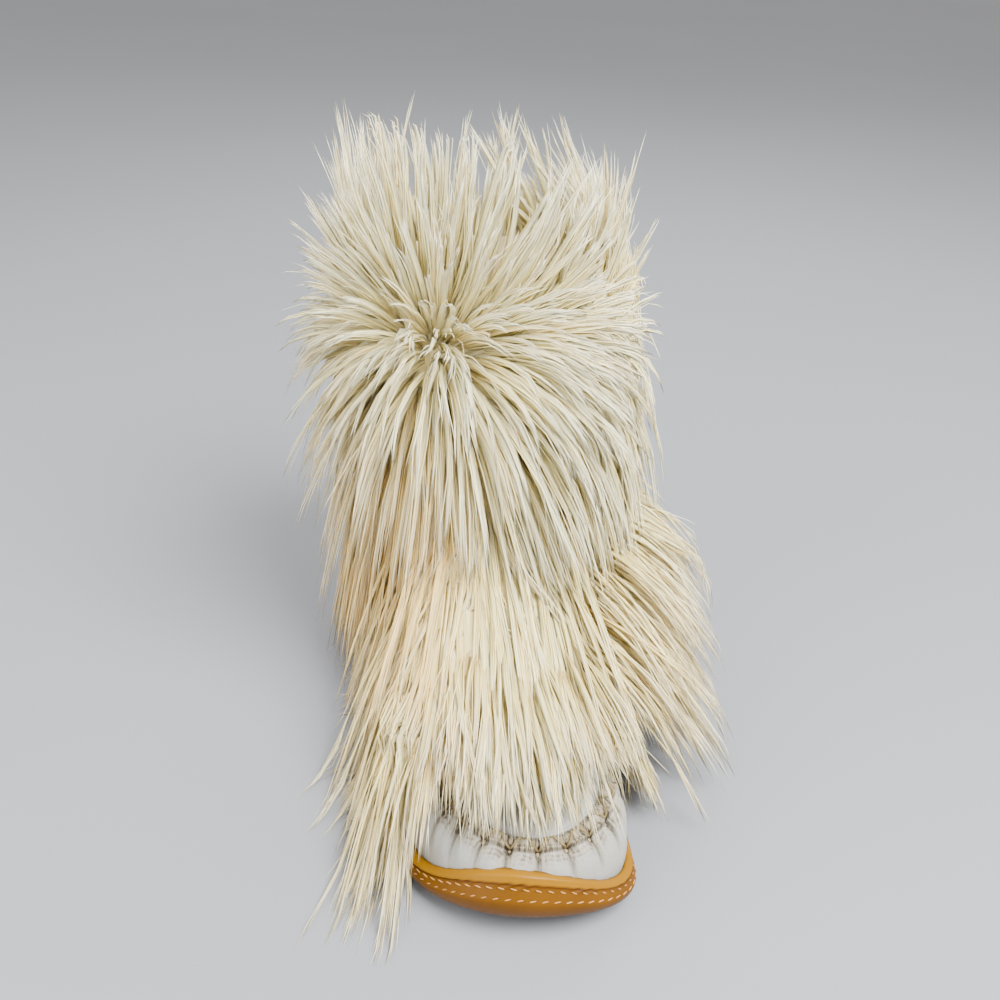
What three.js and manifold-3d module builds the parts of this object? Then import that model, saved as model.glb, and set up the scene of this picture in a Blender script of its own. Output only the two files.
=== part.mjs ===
// A shaggy goat hair mukluk boot for the right foot, in millimetres.
// +Z is up, the toe points along -Y and the inner side of the foot is +X.
// The origin is on the floor under the middle of the heel.
import * as THREE from "three";
import { mergeVertices } from "three/addons/utils/BufferGeometryUtils.js";
import Module from "manifold-3d";

const wasm = await Module();
wasm.setup();

// Driving dimensions of the last and the shaft.
const SOLE_LENGTH = 272;
const BALL_WIDTH = 104;
const HEEL_OVERHANG = 35; // from the origin back to the rear edge of the sole
const HEEL_ROUND = 38; // radius of the rounded heel in plan
const TOE_SWING = 7; // how far the toe leans to the inner side
const INSTEP_HEIGHT = 130; // where the foot turns into the shaft
const COLLAR_HEIGHT = 225;
const SHAFT_WIDTH = 120;
const SHAFT_DEPTH = 128;
const SHAFT_CENTRE_Y = -20;

// Sole.
const HEEL_THICKNESS = 20;
const BALL_THICKNESS = 9;
const TOE_SPRING = 9;
const BED_TOE_SHARE = 0.5; // how much of the toe spring the footbed follows
const ARCH_RISE = 2.5;
const LIP_RISE = 4; // rim of the cup above the footbed
const TOE_LIP_RISE = 18; // extra height of the bumper over the toe
const TOE_LIP_CENTRE = Math.PI + 0.12; // angle round the sole, a little to the outer side
const TOE_LIP_SPREAD = 0.76;
const TOE_UNDERCUT = 13; // how far the toe face rolls under
const TOE_SETBACK = 5; // how far the rim stands behind the toe face
const TREAD_PITCH = 8;
const TREAD_GAP = 3;
const TREAD_DEPTH = 2;
const STITCH_GROOVE = 1.2;

// Upper and insole.
const UPPER_WALL = 2;
const INSOLE_THICKNESS = 3;
const CLEARANCE = 0.3;
const PUCKERS = 19;
const PUCKER_WIDTH = 11.5;
const PUCKER_HEIGHT = 8.5;
const PUCKER_DEPTH = 5.5;

// Fur.
const FUR_DEPTH = 18; // how deep the matted hair stands off the shaft
const FOOT_FUR_DEPTH = 24; // and off the sides of the foot
const HAIR_LENGTH = 90; // a full lock from root to tip
const FLOOR_CLEARANCE = 1;
const SLIVER = 0.06; // edges shorter than this are closed up in the finished fur

const TAU = 2 * Math.PI;
const mix = (a, b, t) => a + (b - a) * t;
const clamp = (x, low, high) => Math.min(high, Math.max(low, x));
const smooth = (a, b, x) => THREE.MathUtils.smoothstep(x, a, b);

// Half widths of the foot in plan, as shares of the ball width.
// Along is the share of the sole's length from the back of the heel.
const FOOT_WIDTHS = [
  { along: 0.0, inner: 0.365, outer: 0.365 },
  { along: 0.2, inner: 0.365, outer: 0.365 },
  { along: 0.42, inner: 0.335, outer: 0.375 },
  { along: 0.56, inner: 0.385, outer: 0.445 },
  { along: 0.7, inner: 0.455, outer: 0.52 },
  { along: 0.84, inner: 0.47, outer: 0.525 },
  { along: 1.0, inner: 0.45, outer: 0.47 },
];

// Sections of the upper, from its bottom edge up to the collar. Front and back are shares of the
// sole's length from the back of the heel. The foot columns are shares of the instep height and
// the shaft column is the share of the height above it. The shoulders say how far back from the
// front the section starts to round off, width is its share of the foot's width, round is how
// much of the shaft's oval it has, girth its share of the shaft's size, and bed how closely it
// follows the footbed.
const SECTIONS = [
  {
    // bottom edge
    front: 0.966, frontFoot: 0.106, back: 0.03, backFoot: 0.155, shaft: 0,
    inner: 0.12, outer: 0.19, width: 0.9, round: 0, girth: 1, bed: 1,
  },
  {
    // wall at the rim of the sole
    front: 0.972, frontFoot: 0.185, back: 0.022, backFoot: 0.235, shaft: 0,
    inner: 0.12, outer: 0.19, width: 0.91, round: 0, girth: 1, bed: 0.9,
  },
  {
    // wall
    front: 0.968, frontFoot: 0.245, back: 0.018, backFoot: 0.32, shaft: 0,
    inner: 0.13, outer: 0.2, width: 0.9, round: 0, girth: 1, bed: 0.5,
  },
  {
    // wall under the seam
    front: 0.957, frontFoot: 0.29, back: 0.018, backFoot: 0.41, shaft: 0,
    inner: 0.14, outer: 0.22, width: 0.85, round: 0, girth: 1, bed: 0.2,
  },
  {
    // puckered seam
    front: 0.94, frontFoot: 0.318, back: 0.022, backFoot: 0.48, shaft: 0,
    inner: 0.17, outer: 0.27, width: 0.78, round: 0, girth: 1, bed: 0,
  },
  {
    // edge of the plug
    front: 0.905, frontFoot: 0.342, back: 0.028, backFoot: 0.54, shaft: 0,
    inner: 0.24, outer: 0.33, width: 0.75, round: 0, girth: 1, bed: 0,
  },
  {
    // plug
    front: 0.82, frontFoot: 0.405, back: 0.036, backFoot: 0.61, shaft: 0,
    inner: 0.32, outer: 0.38, width: 0.76, round: 0.03, girth: 1, bed: 0,
  },
  {
    // tongue of the plug
    front: 0.73, frontFoot: 0.52, back: 0.042, backFoot: 0.7, shaft: 0,
    inner: 0.36, outer: 0.38, width: 0.79, round: 0.08, girth: 0.98, bed: 0,
  },
  {
    // waist of the vamp
    front: 0.64, frontFoot: 0.635, back: 0.047, backFoot: 0.79, shaft: 0,
    inner: 0.34, outer: 0.35, width: 0.83, round: 0.22, girth: 0.95, bed: 0,
  },
  {
    // instep
    front: 0.555, frontFoot: 0.79, back: 0.046, backFoot: 0.89, shaft: 0,
    inner: 0.3, outer: 0.3, width: 0.86, round: 0.5, girth: 0.91, bed: 0,
  },
  {
    // throat
    front: 0.485, frontFoot: 1, back: 0.04, backFoot: 1, shaft: 0,
    inner: 0.26, outer: 0.26, width: 0.9, round: 0.85, girth: 0.9, bed: 0,
  },
  {
    // ankle
    front: 0.45, frontFoot: 1, back: 0.03, backFoot: 1, shaft: 0.25,
    inner: 0.25, outer: 0.25, width: 0.95, round: 1, girth: 0.92, bed: 0,
  },
  {
    // middle of the shaft
    front: 0.45, frontFoot: 1, back: 0.01, backFoot: 1, shaft: 0.62,
    inner: 0.25, outer: 0.25, width: 1, round: 1, girth: 0.97, bed: 0,
  },
  {
    // collar
    front: 0.45, frontFoot: 1, back: 0, backFoot: 1, shaft: 1,
    inner: 0.25, outer: 0.25, width: 1, round: 1, girth: 1, bed: 0,
  },
];
const TOP = SECTIONS.length - 1;
const SEAM = 4; // index of the puckered seam's section

// A cubic through four values, at t between the middle two.
function cubic(a, b, c, d, t) {
  const pull = (2 * a - 5 * b + 4 * c - d) * t * t;
  const turn = (3 * b - a - 3 * c + d) * t * t * t;
  return b + 0.5 * ((c - a) * t + pull + turn);
}

// A section at a place between two rows of the table.
function sectionAt(place) {
  const i = clamp(Math.floor(place), 0, TOP - 1);
  const near = [i - 1, i, i + 1, i + 2].map((k) => SECTIONS[clamp(k, 0, TOP)]);
  const row = {};
  for (const key of Object.keys(SECTIONS[0])) {
    row[key] = cubic(...near.map((s) => s[key]), place - i);
  }
  return row;
}

// Half width of the foot at a share of its length, on one side, by a cubic through the table.
function footHalfWidth(along, side) {
  const last = FOOT_WIDTHS.length - 1;
  const at = clamp(along, 0, 1);
  let i = FOOT_WIDTHS.findIndex((row) => row.along >= at) - 1;
  i = clamp(i, 0, last - 1);
  const t = (at - FOOT_WIDTHS[i].along) / (FOOT_WIDTHS[i + 1].along - FOOT_WIDTHS[i].along);
  const near = [i - 1, i, i + 1, i + 2].map((k) => FOOT_WIDTHS[clamp(k, 0, last)][side]);
  return BALL_WIDTH * cubic(...near, t);
}

const centreLine = (along) => TOE_SWING * smooth(0.55, 1, along);
const roundEnd = (share, power) => Math.pow(1 - Math.pow(clamp(share, 0, 1), power), 1 / power);

// Height of the footbed, of the sole's bottom and of the rim of its cup.
const toeRise = (along) => TOE_SPRING * Math.pow(clamp((along - 0.76) / 0.24, 0, 1), 1.8);
function bedHeight(along) {
  const wedge = mix(HEEL_THICKNESS, BALL_THICKNESS, smooth(0.28, 0.66, along));
  return wedge + toeRise(along) * BED_TOE_SHARE;
}
function bottomHeight(along) {
  const arch = ARCH_RISE * smooth(0.3, 0.4, along) * (1 - smooth(0.46, 0.56, along));
  return arch + toeRise(along);
}
function rimHeight(along, phi) {
  const off = clamp(Math.abs(phi - TOE_LIP_CENTRE) / TOE_LIP_SPREAD, 0, 1);
  const bump = Math.pow(Math.cos((off * Math.PI) / 2), 2);
  return bedHeight(along) + LIP_RISE + TOE_LIP_RISE * bump * smooth(0.78, 0.97, along);
}

// A point of a foot-shaped outline. Phi runs from the back of the heel over the inner side (+X)
// to the toe at pi, and back over the outer side.
function outlinePoint(phi, front, back, shoulders, width) {
  const y = mix(back, front, (1 - Math.cos(phi)) / 2);
  const along = (HEEL_OVERHANG - y) / SOLE_LENGTH;
  const side = Math.sin(phi) >= 0 ? "inner" : "outer";
  const heel = roundEnd(1 - (back - y) / HEEL_ROUND, 2);
  const toe = roundEnd(1 - (y - front) / (shoulders[side] * SOLE_LENGTH), 2.2);
  const half = footHalfWidth(along, side) * width * heel * toe;
  return { x: centreLine(along) + (side === "inner" ? half : -half), y, along };
}

// A point of the upper's outer surface, at a place in the section table and an angle phi.
function upperPoint(place, phi) {
  const row = sectionAt(place);
  const reach = (SHAFT_DEPTH / 2) * row.girth;
  const front = mix(HEEL_OVERHANG - row.front * SOLE_LENGTH, SHAFT_CENTRE_Y - reach, row.round);
  const back = mix(HEEL_OVERHANG - row.back * SOLE_LENGTH, SHAFT_CENTRE_Y + reach, row.round);
  const foot = outlinePoint(phi, front, back, row, row.width);
  const oval = (SHAFT_WIDTH / 2) * row.girth * Math.sin(phi);
  const shaftHeight = COLLAR_HEIGHT - INSTEP_HEIGHT;
  const level = (share) => share * INSTEP_HEIGHT + row.shaft * shaftHeight;
  const plane = mix(level(row.backFoot), level(row.frontFoot), (1 - Math.cos(phi)) / 2);
  const onBed = bedHeight(foot.along) + CLEARANCE + plane - mix(
    SECTIONS[0].backFoot * INSTEP_HEIGHT,
    SECTIONS[0].frontFoot * INSTEP_HEIGHT,
    (1 - Math.cos(phi)) / 2,
  );
  return new THREE.Vector3(mix(foot.x, oval, row.round), foot.y, mix(plane, onBed, row.bed));
}

// The outward normal there, from two short steps over the surface.
function upperNormal(place, phi) {
  const step = 0.02;
  const low = clamp(place - step, 0, TOP);
  const up = upperPoint(clamp(place + step, 0, TOP), phi).sub(upperPoint(low, phi));
  const round = upperPoint(place, phi + step).sub(upperPoint(place, phi - step));
  return up.cross(round).normalize();
}

function offsetPoint(place, phi, distance) {
  return upperPoint(place, phi).addScaledVector(upperNormal(place, phi), distance);
}

// Turns closed loops of points, each stacked on the one before, into a closed geometry.
// Open ends are shut by strips across, from each point to its mirror on the loop's other side,
// so that they follow a bent footbed. Joined loops close on themselves like a ring's section.
function loft(loops, joined = false) {
  const points = loops.flat();
  const count = loops[0].length;
  const faces = [];
  const spans = joined ? loops.length : loops.length - 1;
  for (let r = 0; r < spans; r++) {
    const low = r * count;
    const high = ((r + 1) % loops.length) * count;
    for (let k = 0; k < count; k++) {
      const next = (k + 1) % count;
      faces.push([low + k, low + next, high + next], [low + k, high + next, high + k]);
    }
  }
  if (!joined) faces.push(...cap(0, count, false), ...cap((loops.length - 1) * count, count, true));
  const geometry = new THREE.BufferGeometry();
  geometry.setAttribute(
    "position",
    new THREE.Float32BufferAttribute(points.flatMap((p) => [p.x, p.y, p.z]), 3),
  );
  geometry.setIndex(faces.flat());
  return geometry;
}

function cap(start, count, top) {
  const faces = [];
  for (let k = 0; k < count / 2; k++) {
    const mirror = (count - k) % count;
    const triangles = [[k, mirror, k + 1], [k + 1, mirror, count - k - 1]];
    for (const triangle of triangles.filter((t) => new Set(t).size === 3)) {
      const placed = triangle.map((i) => start + i);
      faces.push(top ? placed.reverse() : placed);
    }
  }
  return faces;
}

// A closed geometry as a solid, turned right side out.
function solid(geometry) {
  const bare = new THREE.BufferGeometry();
  bare.setAttribute("position", geometry.getAttribute("position"));
  if (geometry.index) bare.setIndex(geometry.index);
  const merged = mergeVertices(bare, 1e-4);
  const make = (triVerts) =>
    new wasm.Manifold(
      new wasm.Mesh({
        numProp: 3,
        vertProperties: new Float32Array(merged.attributes.position.array),
        triVerts,
      }),
    );
  const faces = new Uint32Array(merged.index.array);
  const made = make(faces);
  return made.volume() > 0 ? made : make(faces.slice().reverse());
}

function meshOf(name, made, material) {
  const { numProp, vertProperties, triVerts } = made.getMesh();
  const count = vertProperties.length / numProp;
  const position = new Float32Array(count * 3);
  for (let k = 0; k < count; k++) {
    position.set(vertProperties.subarray(k * numProp, k * numProp + 3), k * 3);
  }
  const geometry = new THREE.BufferGeometry();
  geometry.setAttribute("position", new THREE.BufferAttribute(position, 3));
  geometry.setIndex(new THREE.BufferAttribute(new Uint32Array(triVerts), 1));
  geometry.computeVertexNormals();
  const mesh = new THREE.Mesh(geometry, material);
  mesh.name = name;
  return mesh;
}

const range = (count) => Array.from({ length: count }, (_, k) => k);
const ROUND_STEPS = 40;
const ANGLES = range(ROUND_STEPS).map((k) => (k * TAU) / ROUND_STEPS);
const UPPER_PLACES = range(TOP + 1);

// The whole form of the upper, filled, grown by a distance and lengthened out of the collar.
function filledUpper(distance, above) {
  const loops = UPPER_PLACES.map((place) => ANGLES.map((phi) => offsetPoint(place, phi, distance)));
  for (const p of loops[0]) p.z -= distance;
  const top = loops[loops.length - 1].map((p) => p.clone().setZ(COLLAR_HEIGHT + above));
  return solid(loft(above > 0 ? [...loops, top] : loops));
}

// Outer face of the sole: inset from the outline and share of the height from bottom to rim.
const SOLE_FACE = [
  { inset: 5, share: 0, toe: 1 },
  { inset: 1.6, share: 0.12, toe: 0.42 },
  { inset: 0.2, share: 0.32, toe: 0.08 },
  { inset: 0, share: 0.5, toe: 0 },
  { inset: 0, share: 0.74, toe: 0.14 },
  { inset: STITCH_GROOVE, share: 0.8, toe: 0.2 },
  { inset: STITCH_GROOVE, share: 0.88, toe: 0.26 },
  { inset: 0.2, share: 0.91, toe: 0.29 },
  { inset: 0.2, share: 0.96, toe: 0.35 },
  { inset: 1.1, share: 1, toe: 0.38 },
];
const SOLE_SHOULDERS = { inner: 0.13, outer: 0.2 };

function solePoint(row, phi, grow) {
  const edge = outlinePoint(
    phi, HEEL_OVERHANG - SOLE_LENGTH, HEEL_OVERHANG, SOLE_SHOULDERS, 1,
  );
  const step = 0.01;
  const ahead = outlinePoint(
    phi + step, HEEL_OVERHANG - SOLE_LENGTH, HEEL_OVERHANG, SOLE_SHOULDERS, 1,
  );
  const inward = new THREE.Vector2(ahead.y - edge.y, edge.x - ahead.x).normalize();
  const toeShare = smooth(0.8, 1, edge.along);
  const toeInset = row.share < 0.5 ? TOE_UNDERCUT * row.toe : (TOE_SETBACK * row.toe) / 0.38;
  const inset = mix(row.inset, Math.max(row.inset, toeInset), toeShare) - grow;
  const low = bottomHeight(edge.along);
  const high = rimHeight(edge.along, phi);
  return new THREE.Vector3(
    edge.x + inward.x * inset, edge.y + inward.y * inset, mix(low, high, row.share),
  );
}

function soleForm(grow) {
  const loops = SOLE_FACE.map((row) => ANGLES.map((phi) => solePoint(row, phi, grow)));
  if (grow > 0) {
    loops.unshift(loops[0].map((p) => p.clone().setZ(-10)));
    loops.push(loops[loops.length - 1].map((p) => p.clone().setZ(p.z + grow)));
  }
  return solid(loft(loops));
}

function box(width, depth, height, x, y, z) {
  const geometry = new THREE.BoxGeometry(width, depth, height);
  geometry.translate(x, y, z);
  return solid(geometry);
}

// Cross grooves between the ribs of the tread, under the heel and the forefoot.
const TREAD_FIELDS = [
  { from: 0.04, to: 0.3 },
  { from: 0.58, to: 0.9 },
];
function treadGrooves() {
  const grooves = [];
  for (const field of TREAD_FIELDS) {
    const length = (field.to - field.from) * SOLE_LENGTH;
    const count = Math.floor(length / TREAD_PITCH);
    for (let k = 0; k < count; k++) {
      const y = HEEL_OVERHANG - field.from * SOLE_LENGTH - (k + 0.5) * TREAD_PITCH;
      const base = bottomHeight((HEEL_OVERHANG - y) / SOLE_LENGTH);
      grooves.push(box(BALL_WIDTH * 1.2, TREAD_GAP, TREAD_DEPTH * 2, 0, y, base));
    }
  }
  return grooves;
}

function outsole() {
  let body = soleForm(0).subtract(filledUpper(CLEARANCE, 0));
  for (const groove of treadGrooves()) body = body.subtract(groove);
  return body;
}

function insole() {
  const margin = UPPER_WALL + CLEARANCE;
  const under = ANGLES.map((phi) => offsetPoint(0, phi, -margin));
  const over = ANGLES.map((phi) => {
    const p = offsetPoint(0.4, phi, -margin);
    return p.setZ(0);
  });
  under.forEach((p, k) => {
    p.z = bedHeight((HEEL_OVERHANG - p.y) / SOLE_LENGTH) + CLEARANCE;
    over[k].set(mix(p.x, over[k].x, 0.5), mix(p.y, over[k].y, 0.5), p.z + INSOLE_THICKNESS);
  });
  return solid(loft([under, over]));
}

// Length along the seam, from one angle to the next, so that the puckers are evenly spaced.
function seamAngles(count, spacing) {
  const step = 0.01;
  const found = [];
  for (const turn of [1, -1]) {
    let phi = Math.PI;
    let walked = spacing / 2;
    const wanted = Math.floor((count + (turn > 0 ? 0 : 1)) / 2);
    let seen = 0;
    let last = upperPoint(SEAM, phi);
    while (seen < wanted) {
      phi += turn * step;
      const here = upperPoint(SEAM, phi);
      walked += here.distanceTo(last);
      last = here;
      if (walked >= spacing) {
        found.push(phi);
        walked -= spacing;
        seen += 1;
      }
    }
  }
  return found.sort((a, b) => a - b);
}

// One gathered fold of the wall's edge, standing on the seam.
function pucker(phi, grow) {
  const lobe = new THREE.SphereGeometry(1, 5, 3);
  lobe.scale(PUCKER_WIDTH * 0.52 + grow, PUCKER_DEPTH / 2 + grow, PUCKER_HEIGHT / 2 + grow);
  const along = upperPoint(SEAM, phi + 0.02).sub(upperPoint(SEAM, phi - 0.02)).normalize();
  const out = upperNormal(SEAM - 0.5, phi);
  const up = along.clone().cross(out).normalize();
  if (up.z < 0) up.negate();
  lobe.applyMatrix4(new THREE.Matrix4().makeBasis(along, up.clone().cross(along).negate(), up));
  const centre = offsetPoint(SEAM - 0.25, phi, UPPER_WALL * 0.25);
  lobe.translate(centre.x, centre.y, centre.z);
  return solid(lobe);
}

const ruffle = (grow) =>
  wasm.Manifold.union(seamAngles(PUCKERS, PUCKER_WIDTH).map((phi) => pucker(phi, grow)));

function upper() {
  const outer = UPPER_PLACES.map((place) => ANGLES.map((phi) => offsetPoint(place, phi, 0)));
  const inner = UPPER_PLACES.map((place) =>
    ANGLES.map((phi) => offsetPoint(place, phi, -UPPER_WALL)),
  );
  inner[0].forEach((p, k) => p.setZ(outer[0][k].z));
  inner[inner.length - 1].forEach((p, k) => p.setZ(outer[outer.length - 1][k].z));
  const shell = solid(loft([...outer, ...inner.reverse()], true));
  const inside = filledUpper(-UPPER_WALL, 5);
  return shell.add(ruffle(0).subtract(inside));
}

// Tiers of locks, from the crown down to the hem. Place is in the section table, from and to are
// the angles that the tier covers. Length and width are shares of the hair's length. The other
// columns are shares of the lock's own length: out, up, back and lean (to the outer side) say where it sets
// off, and fall how far it has drooped at its tip.
const TIERS = [
  {
    // crown, standing up round the collar
    place: 12.7, from: 0, to: TAU, count: 14, length: 0.86, width: 0.34,
    out: 0.16, up: 0.95, back: 0, lean: 0.3, fall: 0.04,
  },
  {
    // cuff, fanning up and out of the crown
    place: 12.3, from: 0.2, to: TAU + 0.2, count: 12, length: 0.85, width: 0.34,
    out: 0.38, up: 0.84, back: 0, lean: 0.18, fall: 0.22,
  },
  {
    // arcs that roll over from the whorl
    place: 12, from: 0, to: TAU, count: 12, length: 0.95, width: 0.33,
    out: 0.3, up: -0.1, back: 0, lean: 0, fall: 0.75,
  },
  {
    // middle of the shaft
    place: 11.2, from: 0.2, to: TAU + 0.2, count: 12, length: 0.95, width: 0.33,
    out: 0.22, up: -0.7, back: 0, lean: 0, fall: 0.25,
  },
  {
    // flare at the inner side of the ankle
    place: 10.2, from: 0.5, to: 2.5, count: 6, length: 1.05, width: 0.33,
    out: 0.72, up: -0.3, back: 0, lean: 0, fall: 0.3,
  },
  {
    // outer side and back of the ankle
    place: 10.4, from: -2.5, to: 0.4, count: 7, length: 1, width: 0.33,
    out: 0.32, up: -0.6, back: 0, lean: 0, fall: 0.3,
  },
  {
    // front of the throat
    place: 9.6, from: 2.4, to: 3.88, count: 5, length: 0.95, width: 0.31,
    out: 0.6, up: -0.35, back: 0, lean: 0, fall: 0.25,
  },
  {
    // sides of the heel and the foot
    place: 7.8, from: -2.4, to: 2.4, count: 11, length: 1, width: 0.36,
    out: 0.62, up: -0.3, back: 0.06, lean: 0, fall: 0.42,
  },
  {
    // vamp
    place: 8.2, from: 2.3, to: 3.98, count: 6, length: 0.9, width: 0.31,
    out: 0.92, up: -0.05, back: 0, lean: 0, fall: 0.3,
  },
  {
    // fringe over the plug
    place: 6.7, from: 2.32, to: 3.95, count: 7, length: 0.72, width: 0.28,
    out: 1.15, up: 0.02, back: 0, lean: 0, fall: 0.36,
  },
  {
    // hem over the rim of the sole
    place: 5.2, from: -2.4, to: 2.4, count: 12, length: 0.52, width: 0.29,
    out: 0.42, up: -0.5, back: 0.1, lean: 0, fall: 0.5,
  },
  {
    // long locks that fall from the outer side of the vamp to the floor
    place: 6.2, from: 3.85, to: 4.35, count: 3, length: 1.16, width: 0.22,
    out: 0.42, up: -0.3, back: -0.5, lean: 0, fall: 0.3,
  },
];

// A repeatable number between 0 and 1 for lock number n.
const scatter = (n) => {
  const s = Math.sin(n * 12.9898 + 4.1414) * 43758.5453;
  return s - Math.floor(s);
};

// A tapered, bent lock of hair with a flattened four-sided section.
const LOCK_STATIONS = [
  { t: 0, width: 0.75 },
  { t: 0.35, width: 1 },
  { t: 0.72, width: 0.66 },
];
const LOCK_FLATNESS = 0.45;
function lock(tier, k, seed) {
  const share = (k + 0.5 + 0.3 * (scatter(seed) - 0.5)) / tier.count;
  const phi = mix(tier.from, tier.to, share);
  const place = tier.place + 0.25 * (scatter(seed + 0.37) - 0.5);
  const length = HAIR_LENGTH * tier.length * (0.86 + 0.28 * scatter(seed + 0.71));
  const out = upperNormal(Math.min(place, TOP - 0.05), phi).setZ(0).normalize();
  const aside = new THREE.Vector3(-out.y, out.x, 0);
  const swing = 0.25 * (scatter(seed + 0.93) - 0.5);
  const start = offsetPoint(place, phi, FUR_DEPTH * 0.35);
  const at = (t) =>
    new THREE.Vector3(-tier.lean * t, tier.back * t, tier.up * t - tier.fall * t * t)
      .addScaledVector(out, tier.out * t * (1 - 0.25 * t))
      .addScaledVector(aside, swing * t)
      .multiplyScalar(length)
      .add(start);
  const loops = LOCK_STATIONS.map((station) => {
    const middle = at(station.t);
    const ahead = at(station.t + 0.05).sub(at(station.t - 0.05)).normalize();
    const wide = ahead.clone().cross(out).normalize();
    const thick = wide.clone().cross(ahead).normalize();
    const half = (HAIR_LENGTH * tier.width * station.width) / 2;
    return [[1, 0], [0, 1], [-1, 0], [0, -1]].map(([a, b]) =>
      middle.clone().addScaledVector(wide, a * half).addScaledVector(thick, b * half * LOCK_FLATNESS),
    );
  });
  const tip = at(1);
  loops.push(range(4).map(() => tip));
  return solid(loft(loops));
}

// Where the skin under the hair ends: low round the heel, high over the bare toe.
const HEM_LOW = 1.7;
const HEM_TOE = 6.6;
const HEM_TURN = 1.25; // angle each side of the toe over which the hem climbs
const hemPlace = (phi) =>
  mix(HEM_TOE, HEM_LOW, smooth(0.55, HEM_TURN, Math.abs(phi - Math.PI)));

function furDepth(place, phi) {
  const foot = (1 - smooth(8, 9.5, place)) * smooth(0.5, 1.1, Math.abs(phi - Math.PI));
  return mix(FUR_DEPTH, FOOT_FUR_DEPTH, foot);
}
const FUR_ROWS = [0, 0.15, 0.32, 0.5, 0.68, 0.85, 1];
const FUR_ANGLES = ANGLES.filter((phi, k) => k % 2 === 0);
function furBody() {
  const loops = FUR_ROWS.map((w) =>
    FUR_ANGLES.map((phi, k) => {
      const place = mix(hemPlace(phi), TOP, w);
      const clump = 1 + 0.3 * (scatter(k * 3.1 + w * 17) - 0.5);
      const edge = mix(0.45, 1, smooth(0, 0.2, w)) * mix(1, 0.7, smooth(0.88, 1, w));
      return offsetPoint(place, phi, furDepth(place, phi) * clump * edge);
    }),
  );
  return solid(loft(loops));
}

// The largest shell alone, so that sealed pockets are filled and crumbs left out.
const largest = (made) => made.decompose().sort((a, b) => b.volume() - a.volume())[0];

function fur() {
  const locks = [];
  TIERS.forEach((tier, t) => {
    for (let k = 0; k < tier.count; k++) locks.push(lock(tier, k, t * 31 + k));
  });
  const reach = SOLE_LENGTH * 3;
  const coat = largest(wasm.Manifold.union([furBody(), ...locks]));
  return largest(
    coat
      .subtract(filledUpper(CLEARANCE, COLLAR_HEIGHT))
      .subtract(ruffle(CLEARANCE * 2))
      .subtract(soleForm(CLEARANCE * 2))
      .subtract(box(reach, reach, reach, 0, 0, FLOOR_CLEARANCE - reach / 2))
      .simplify(SLIVER),
  );
}

const rubber = new THREE.MeshStandardMaterial({ color: 0xc9882c, roughness: 0.45, metalness: 0 });
const leather = new THREE.MeshStandardMaterial({ color: 0xd3d6d4, roughness: 0.6, metalness: 0 });
const felt = new THREE.MeshStandardMaterial({ color: 0xcfc4ad, roughness: 0.95, metalness: 0 });
const hair = new THREE.MeshStandardMaterial({ color: 0xe3d3ac, roughness: 0.8, metalness: 0 });

const boot = new THREE.Group();
boot.name = "mukluk_boot";
boot.add(
  meshOf("outsole", outsole(), rubber),
  meshOf("insole", insole(), felt),
  meshOf("upper", upper(), leather),
  meshOf("fur", fur(), hair),
);

export default boot;
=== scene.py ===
import math

import bpy
import numpy as np
from mathutils import Matrix, Vector


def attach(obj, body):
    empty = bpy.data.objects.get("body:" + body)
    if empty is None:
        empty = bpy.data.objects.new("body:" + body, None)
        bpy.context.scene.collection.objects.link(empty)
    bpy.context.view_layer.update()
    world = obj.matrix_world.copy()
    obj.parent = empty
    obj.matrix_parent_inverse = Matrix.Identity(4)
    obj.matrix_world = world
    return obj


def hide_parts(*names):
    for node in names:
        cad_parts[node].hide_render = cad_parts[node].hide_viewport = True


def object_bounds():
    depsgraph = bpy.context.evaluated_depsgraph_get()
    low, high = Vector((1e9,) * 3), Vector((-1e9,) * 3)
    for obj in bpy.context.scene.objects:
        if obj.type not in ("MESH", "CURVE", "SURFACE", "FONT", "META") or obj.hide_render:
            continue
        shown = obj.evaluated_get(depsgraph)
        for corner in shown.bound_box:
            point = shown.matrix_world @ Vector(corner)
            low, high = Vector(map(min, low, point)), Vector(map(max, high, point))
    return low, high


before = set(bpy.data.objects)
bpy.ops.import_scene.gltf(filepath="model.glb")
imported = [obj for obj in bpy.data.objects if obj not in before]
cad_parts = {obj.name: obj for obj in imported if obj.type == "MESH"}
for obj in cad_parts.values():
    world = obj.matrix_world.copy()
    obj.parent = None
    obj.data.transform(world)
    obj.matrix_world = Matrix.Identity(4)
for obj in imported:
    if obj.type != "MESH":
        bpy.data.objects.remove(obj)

CAD_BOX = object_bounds()

# A mukluk boot: a gum rubber cup sole, a white leather upper with a gathered moccasin seam, and
# long goat hair sewn round the shaft and the instep. Shapes are worked out in millimetres and
# become metres when they are put into a mesh.
MM = 0.001
TAU = 2 * math.pi
LEVEL = np.array([1, 1, 0])

# Driving dimensions of the last, the shaft, the sole and the fur, as in the part's source.
SOLE_LENGTH = 272
BALL_WIDTH = 104
HEEL_OVERHANG = 35
HEEL_ROUND = 38
TOE_SWING = 7
INSTEP_HEIGHT = 130
COLLAR_HEIGHT = 225
SHAFT_WIDTH = 120
SHAFT_DEPTH = 128
SHAFT_CENTRE_Y = -20
HEEL_THICKNESS = 20
BALL_THICKNESS = 9
TOE_SPRING = 9
BED_TOE_SHARE = 0.5
ARCH_RISE = 2.5
LIP_RISE = 4
TOE_LIP_RISE = 18
TOE_LIP_CENTRE = math.pi + 0.12
TOE_LIP_SPREAD = 0.76
TOE_UNDERCUT = 13
TOE_SETBACK = 5
TOE_ROLL_AT_RIM = 0.38
TREAD_PITCH = 8
TREAD_GAP = 3
TREAD_DEPTH = 2
UPPER_WALL = 2
INSOLE_THICKNESS = 3
CLEARANCE = 0.3
PUCKER_WIDTH = 11.5
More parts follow.
